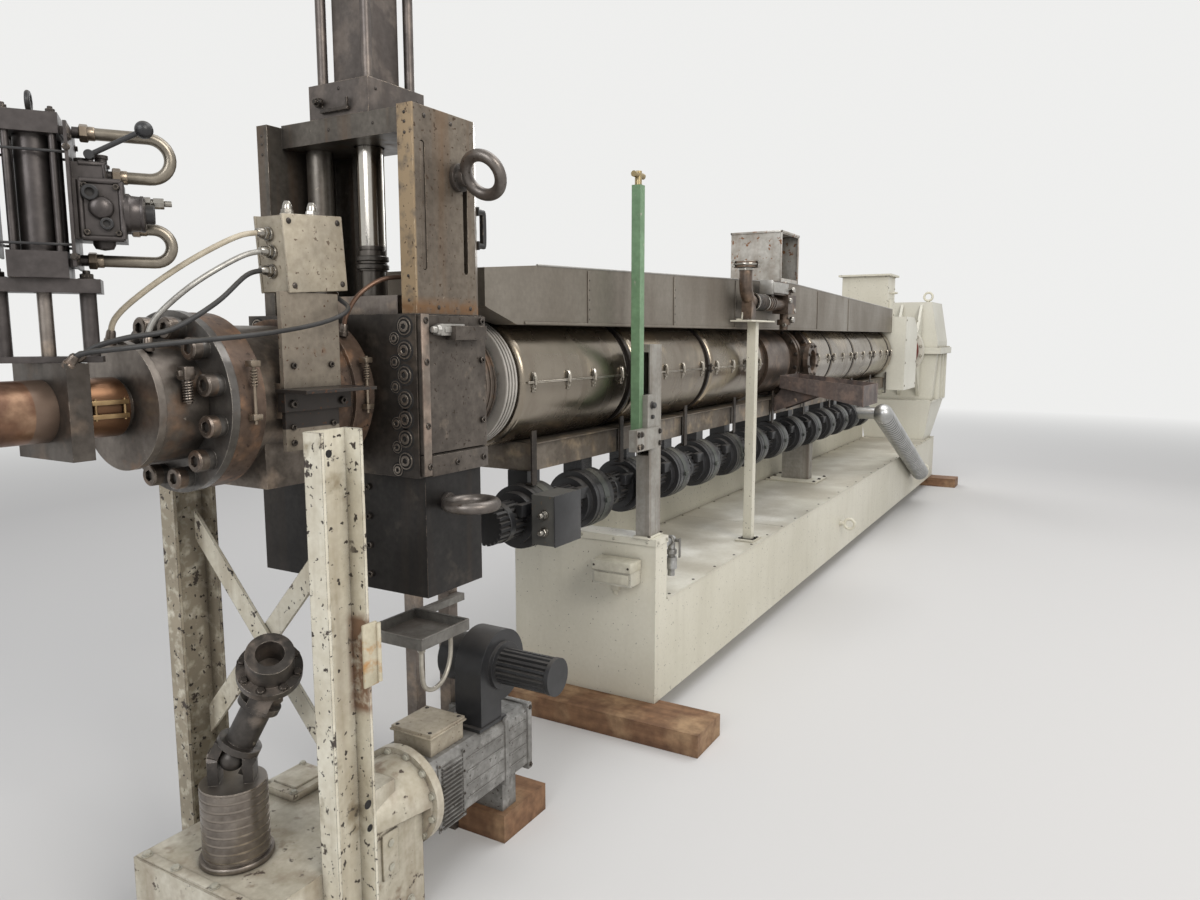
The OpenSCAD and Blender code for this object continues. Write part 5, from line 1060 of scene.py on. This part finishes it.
def dressHood(h):
    seams, side = [], h["side"]
    for s in (-1, 1):
        for x in h["seams"]:
            low, high = sorted((s * side, s * (side + 5)))
            top = 1768 + (x + 627) * 0.0309 if x < h["peak"] else 1850 - (x - h["peak"]) * 0.0254
            seams.append(plate((x - 9, low, 1590), (x + 9, high, top), 0.8, 1))
        low, high = sorted((s * side, s * (side + 4.5)))
        seams.append(plate((-700, low, 1588), (2700, high, 1597), 0.8, 1))
    addPiece("hood_seams", seams, "hoodSteel")
    rims = [swept([(x, s * side, z) for x, z in h["roof"]], 3.5, 6) for s in (-1, 1)]
    addPiece("hood_rims", rims, "sensorSteel")
    rivets = [((x, s * (side + 5), z), (0, s, 0), 0.32) for x in h["seams"][:3] for z in range(1610, 1776, 34) for s in (-1, 1)]
    screws("hood_rivets", panHead, rivets)


dressHood(hood)
print("vent line, chimney and hood dressed")

# far end: duct wires, bolts of the gearbox and the feed box, handle of the feed box
farEnd = {"disc": (6240, 0, axisZ), "ringRadius": 246, "splitTop": 1436, "duct": (3702, -418, 975), "ductLean": 111.3,
          "ductRibs": 40, "ductPitch": 47.25,
          "grip": ((5090, -150, 1930), (5090, -186, 1936), (5120, -196, 1938), (5184, -196, 1938), (5214, -186, 1936),
                   (5214, -150, 1930))}


def dressFarEnd(f):
    # dark wire in each groove of the ribbed duct
    lean = math.radians(f["ductLean"])
    along = Vector((math.sin(lean), 0, math.cos(lean)))
    grooves = spots(along, 1.0, [Vector(f["duct"]) + along * f["ductPitch"] * k for k in range(1, f["ductRibs"])])
    copies("duct_wires", [turned([(69, -8), (72.4, -6), (72.4, 6), (69, 8)], 40, ring=True)], grooves, "blowerBand")
    rows = {"gearbox_ring": spots(front, 1.25, circleOf(f["disc"], "x", f["ringRadius"], 16, 11.25)),
            "gearbox_split": grid(up, 1.5, range(6520, 7170, 125), (-376, 376), f["splitTop"]),
            "feed": grid(near, 0.7, (5020, 5284), -150, (1745, 1860, 1975, 2078))
            + grid(front, 0.7, 5002, (-130, 50, 230), (1745, 2078))
            + grid(near, 0.8, (4972, 5470), -330, (1120, 1320, 1520, 1690)),
            "gearbox_foot": grid(up, 1.3, (6340, 6450, 6520, 6690, 6900, 7090), (-349, 349), 900)}
    for name, places in rows.items():
        screws(name + "_bolts", hexHead, places, "paintedBolt")
    addPiece("feed_handle", [swept(curved(f["grip"], 5), 6, 10), plate((5060, -157, 1770), (5244, -149, 1880), 2)],
             "creamBase")


dressFarEnd(farEnd)

# base frame: deck screws, lid screws, foot plates, the posts on the raised box, and the water valve
base = {"deckTop": 500, "boxFace": -4, "side": -344, "lidZ": 746, "water": (712, 668, 604)}


def dressBase(b):
    screws("deck_screws", panHead, grid(up, 0.7, range(160, 6680, 245), (-322, 282), b["deckTop"]))
    lid = grid(front, 0.62, b["boxFace"], (-300, -150, 0, 150, 300), b["lidZ"])
    screws("lid_screws", panHead, lid + grid(near, 0.62, (14, 90), b["side"], b["lidZ"]), "paintedBolt")
    addPiece("foot_plates", plates(((1198, -312, 499), (1282, -226, 508), 1.5), ((3098, -92, 499), (3402, 272, 513), 2),
                                   ((-12, -313, 759), (112, -240, 768), 1.5)), "creamBase")
    heads = grid(up, 0.8, (1207, 1273), (-303, -235), 508) + grid(up, 1.1, (3114, 3250, 3386), (-78, 258), 513)
    screws("foot_bolts", hexHead, heads + grid(up, 0.6, (-4, 104), -309, 768))
    heads = grid(near, 0.95, (-156, -132), -339, (1142, 1188)) + grid(back, 1.0, 102, -276, (800, 1060, 1165))
    screws("post_bolts", hexHead, heads + grid(near, 0.9, 20, -339, (1142, 1188)))
    addPiece("switch_knobs", [turned([(0, 16), (9, 16), (12, 13), (12, 4), (15, 2), (15, 0)], 20, (-24, -327, 1290), near),
                              turned([(0, 9), (7, 9), (8, 7), (8, 0)], 18, (-24, -327, 1246), near),
                              turned([(0, 24), (6, 24), (9, 20), (9, 0)], 16, (-24, -316, 1205), down)], "castBlack")
    # the end connector: lid, rim, gland and screws
    cap = plates(((-94, -276, 634), (-1, -95, 676), 7, 3), ((-92, -262, 588), (-86, -110, 628), 2))
    cap.append(turned([(0, 46), (9, 46), (13, 40), (14, 30), (19, 26), (19, 0)], 22, (-50, -184, 579), down))
    addPiece("connector_cap", cap, "connectorCream")
    screws("connector_screws", panHead, grid(front, 0.5, -94, (-262, -110), 655))
    # union nuts and lever of the water valve
    top, joint, low = b["water"]
    nuts = [((134, -300, top), back, 2.0), ((196, -300, top), back, 2.2), ((224, -300, joint), down, 2.2),
            ((224, -300, low), down, 2.0)]
    nut = [turned([(0, 8), (9.2, 8), (10.4, 7), (10.4, 1), (9.2, 0), (0, 0)], 6)]
    copies("water_unions", nut, nuts, "waterPipe", 1.0)
    addPiece("water_lever", [turned([(0, 20), (5, 20), (7, 16), (7, 0)], 14, (224, -316, top), near),
                             plate((216, -340, 640), (232, -335, 722), 2)], "waterPipe")


dressBase(base)

# vent rings, blowers, boxes, tray and the barrel's flange
rings = {"ventX": (2190, 2440), "ventRadius": 203, "blowers": [-520 + 356 * k for k in range(14)],
         "blowerY": -130, "blowerZ": 948, "tray": (-1318, -298, -1122, -102, 760),
         "drain": ((-1288, -270, 731), (-1288, -270, 660), (-1276, -268, 610), (-1232, -262, 588), (-1180, -255, 600),
                   (-1146, -250, 650), (-1142, -250, 731))}


def blowerParts(x, y, z):
    # band with its lug, rim of the front face, and cowl with a cap, four bars and a terminal box
    band = [annulus(109, 111.5, 36, 48, (x - 68, y, z), back), plate((x - 66, y - 118, z - 9), (x - 34, y - 108, z + 9), 2)]
    rim = [annulus(98, 109, 5, 48, (x - 104, y, z), back)]
    cowl = [turned([(44, 0), (64, 0), (66, 2), (66, 26), (64, 28), (44, 28)], 32, (x - 245, y, z), back, True),
            turned([(0, 3), (12, 3), (14, 0)], 16, (x - 240, y, z), front),
            plate((x - 205, y - 80, z + 20), (x - 135, y - 50, z + 62), 4)]
    for k in range(4):
        bar, a = plate((-2, -18, -3), (2, 18, 3), 0.8, 1), math.radians(45 + 90 * k)
        place = Matrix.Translation((x - 243, y + 29 * math.cos(a), z + 29 * math.sin(a)))
        cowl += carried(place @ Matrix.Rotation(a, 4, "X"), [bar])
    return band, rim, cowl


def dressRings(r):
    y, z = r["blowerY"], r["blowerZ"]
    circles = [circleOf((x, 0, axisZ), "x", r["ventRadius"], 16, 11.25) for x in r["ventX"]]
    screws("vent_ring_bolts", hexHead, spots(front, 0.95, sum(circles, [])))
    groups = zip(*[blowerParts(x, y, z) for x in r["blowers"]])
    for (name, look), parts in zip((("bands", "blowerBand"), ("rims", "blackPaint"), ("cowls", "blackPaint")), groups):
        addPiece("blower_" + name, sum(parts, []), look)
    circles = [circleOf((x - 104, y, z), "x", 103.5, 8, 22.5) for x in r["blowers"]]
    screws("blower_screws", panHead, spots(front, 0.5, sum(circles, [])), "screwSteel")
    # lids, screws and glands of the two boxes
    heads = grid(near, 0.7, (-703, -572), -326, (896, 1034)) + grid(up, 0.6, (-1256, -1132), (-264, -146), 469)
    screws("box_screws", panHead, heads)
    addPiece("box_lids", [plate((-718, -331, 881), (-557, -325, 1049), 3)], "blackPaint")
    addPiece("motor_box_seam", [plate((-1272, -280, 455), (-1116, -130, 461), 2)], "boxGrey")
    places = grid(front, 1.3, -715, -290, (930, 985)) + grid(back, 1.3, -1124, -220, 430)
    screws("box_glands", gland, places, "brightFitting", 3.0)
    # rolled rim of the drip tray and the bent tube under it
    x0, y0, x1, y1, top = r["tray"]
    sides = (((x0, y0), (x1, y0)), ((x0, y1), (x1, y1)), ((x0, y0), (x0, y1)), ((x1, y0), (x1, y1)))
    addPiece("tray_rim", [swept([(*a, top), (*b, top)], 3.2, 8) for a, b in sides], "trayGrey")
    drain = r["drain"]
    nuts = [turned([(0, 20), (9, 20), (11, 17), (11, 0)], 6, end, down) for end in (drain[0], drain[-1])]
    addPiece("tray_drain", [swept(curved(drain, 6), 6.5, 12)] + nuts, "drainTube")
    # ribbed heater on the barrel's flange, with its clamp
    ribs = [turned([(171, 0), (176, 1), (176, 7), (171, 8)], 64, (x, 0, axisZ), back, True) for x in range(-990, -812, 22)]
    ribs += [turned([(204, 0), (209, 1.5), (209, 10.5), (204, 12)], 72, (x, 0, axisZ), back, True)
             for x in (-800, -784, -768, -752)]
    addPiece("flange_ribs", ribs, "flangeRust")
    addPiece("flange_clamp", bandClamp(-901, axisZ + 20, -178, 90), "unionSteel")


dressRings(rings)

# leads from the junction box, its bracket and the block: way, width, look, and whether both ends have a relief
leads = {
    "lead_cream": (((-1646, -155, 1780), (-1706, -148, 1764), (-1796, -112, 1708), (-1872, -62, 1640), (-1912, -24, 1586),
                    (-1916, -8, 1538)), 12, "leadCream", False),
    "lead_metal": (((-1643, -161, 1740), (-1702, -154, 1722), (-1790, -122, 1664), (-1848, -84, 1602), (-1866, -66, 1562),
                    (-1868, -62, 1524)), 12, "leadBright", False),
    "lead_black": (((-1641, -155, 1698), (-1694, -160, 1682), (-1790, -184, 1620), (-1894, -182, 1564), (-1964, -150, 1548),
                    (-2008, -112, 1530), (-2034, -80, 1502)), 11, "leadBlack", False),
    "lead_long": (((-1456, -160, 1662), (-1453, -186, 1641), (-1458, -222, 1619), (-1500, -238, 1598), (-1590, -242, 1575),
                   (-1730, -230, 1554), (-1890, -196, 1538), (-1990, -152, 1526), (-2034, -104, 1516), (-2046, -84, 1494)),
                  11, "leadBlack", True),
    "lead_rust": (((-1398, -140, 1556), (-1396, -150, 1600), (-1372, -170, 1652), (-1320, -190, 1690), (-1270, -210, 1702),
                   (-1220, -236, 1700), (-1190, -256, 1696)), 12, "leadRust", True),
}


def relief(end, way):
    # tapered sleeve at the end of a lead, drawn against its way
    return turned([(0, 30), (7, 30), (9, 26), (10, 12), (12, 10), (12, 0)], 18, end + way.normalized() * 4, -way)


def layLeads(ways):
    plugs = []
    for name, (points, across, look, both) in ways.items():
        path = curved(points, 6 if len(points) < 8 else 4)
        piece = addPiece(name, [swept(path, across / 2, 10)], look)
        plugs.append(relief(path[-1], path[-1] - path[-3]))
        if both:
            plugs.append(relief(path[0], path[0] - path[2]))
    addPiece("lead_ends", plugs, "screwSteel")


layLeads(leads)
print("base, rings and leads dressed")


# floor, backdrop and lamps
studio = {"floor": (0.62, 0.61, 0.60), "back": (0.86, 0.86, 0.85), "air": (0.9, 0.92, 0.95), "airStrength": 0.42,
          "fadeFrom": 6.5, "fadeTo": 15.0, "size": 70.0, "centre": (2.2, 0, 0)}
lamps = {"key": {"at": (-3.5, -8.5, 6.5), "to": (1.0, 0, 0.9), "size": 4.0, "watts": 530, "colour": (1.0, 0.97, 0.92)},
         "front": {"at": (-8.5, -1.0, 5.0), "to": (-1.0, 0, 1.2), "size": 4.0, "watts": 285, "colour": (0.95, 0.97, 1.0)},
         "top": {"at": (3.0, -1.5, 7.5), "to": (3.0, 0, 1.0), "size": 6.0, "watts": 350, "colour": (1, 1, 1)},
         "far": {"at": (11.0, 4.5, 5.0), "to": (3.0, 0, 1.0), "size": 4.0, "watts": 250, "colour": (1, 1, 1)}}


def mixShaders(tree, kind, amount, first, second):
    both = put(tree, "ShaderNodeMixShader", {0: amount, 1: first.outputs[0], 2: second.outputs[0]})
    put(tree, kind, {0: both.outputs[0]})


def makeStage(s):
    bpy.ops.mesh.primitive_circle_add(vertices=96, radius=s["size"], fill_type="NGON", location=s["centre"])
    floor = bpy.context.object
    floor.name = "floor"
    material = bpy.data.materials.new("studioFloor")
    world = bpy.context.scene.world = bpy.data.worlds.new("studioAir")
    for owner in (material, world):
        owner.use_nodes = True
        owner.node_tree.nodes.clear()
    tree = material.node_tree
    place = put(tree, "ShaderNodeTexCoord").outputs["Object"]
    away = put(tree, "ShaderNodeVectorMath", {0: place}, operation="LENGTH").outputs["Value"]
    ground = put(tree, "ShaderNodeBsdfDiffuse", {"Color": rgb(s["floor"])})
    glow = put(tree, "ShaderNodeEmission", {"Color": rgb(s["back"]), "Strength": 1.0})
    mixShaders(tree, "ShaderNodeOutputMaterial", spread(tree, away, s["fadeFrom"], s["fadeTo"]), ground, glow)
    floor.data.materials.append(material)
    # the world lights softly, and is seen as the plain backdrop
    tree = world.node_tree
    rays = put(tree, "ShaderNodeLightPath").outputs
    seen = sums(tree, "MAXIMUM", rays["Is Glossy Ray"], rays["Is Transmission Ray"])
    seen = sums(tree, "MAXIMUM", rays["Is Camera Ray"], seen)
    air = put(tree, "ShaderNodeBackground", {"Color": rgb(s["air"]), "Strength": s["airStrength"]})
    backdrop = put(tree, "ShaderNodeBackground", {"Color": rgb(s["back"]), "Strength": 1.0})
    mixShaders(tree, "ShaderNodeOutputWorld", seen, air, backdrop)


def makeLamp(name, lamp):
    data = bpy.data.lights.new(name, "AREA")
    data.size, data.energy, data.color = lamp["size"], lamp["watts"], lamp["colour"]
    light = linked(name, data)
    light.location = lamp["at"]
    light.rotation_euler = (Vector(lamp["to"]) - Vector(lamp["at"])).to_track_quat("-Z", "Y").to_euler()


makeStage(studio)
for name, lamp in lamps.items():
    makeLamp(name, lamp)
bpy.context.scene.view_settings.view_transform = "Standard"
print("stage and lamps ready")
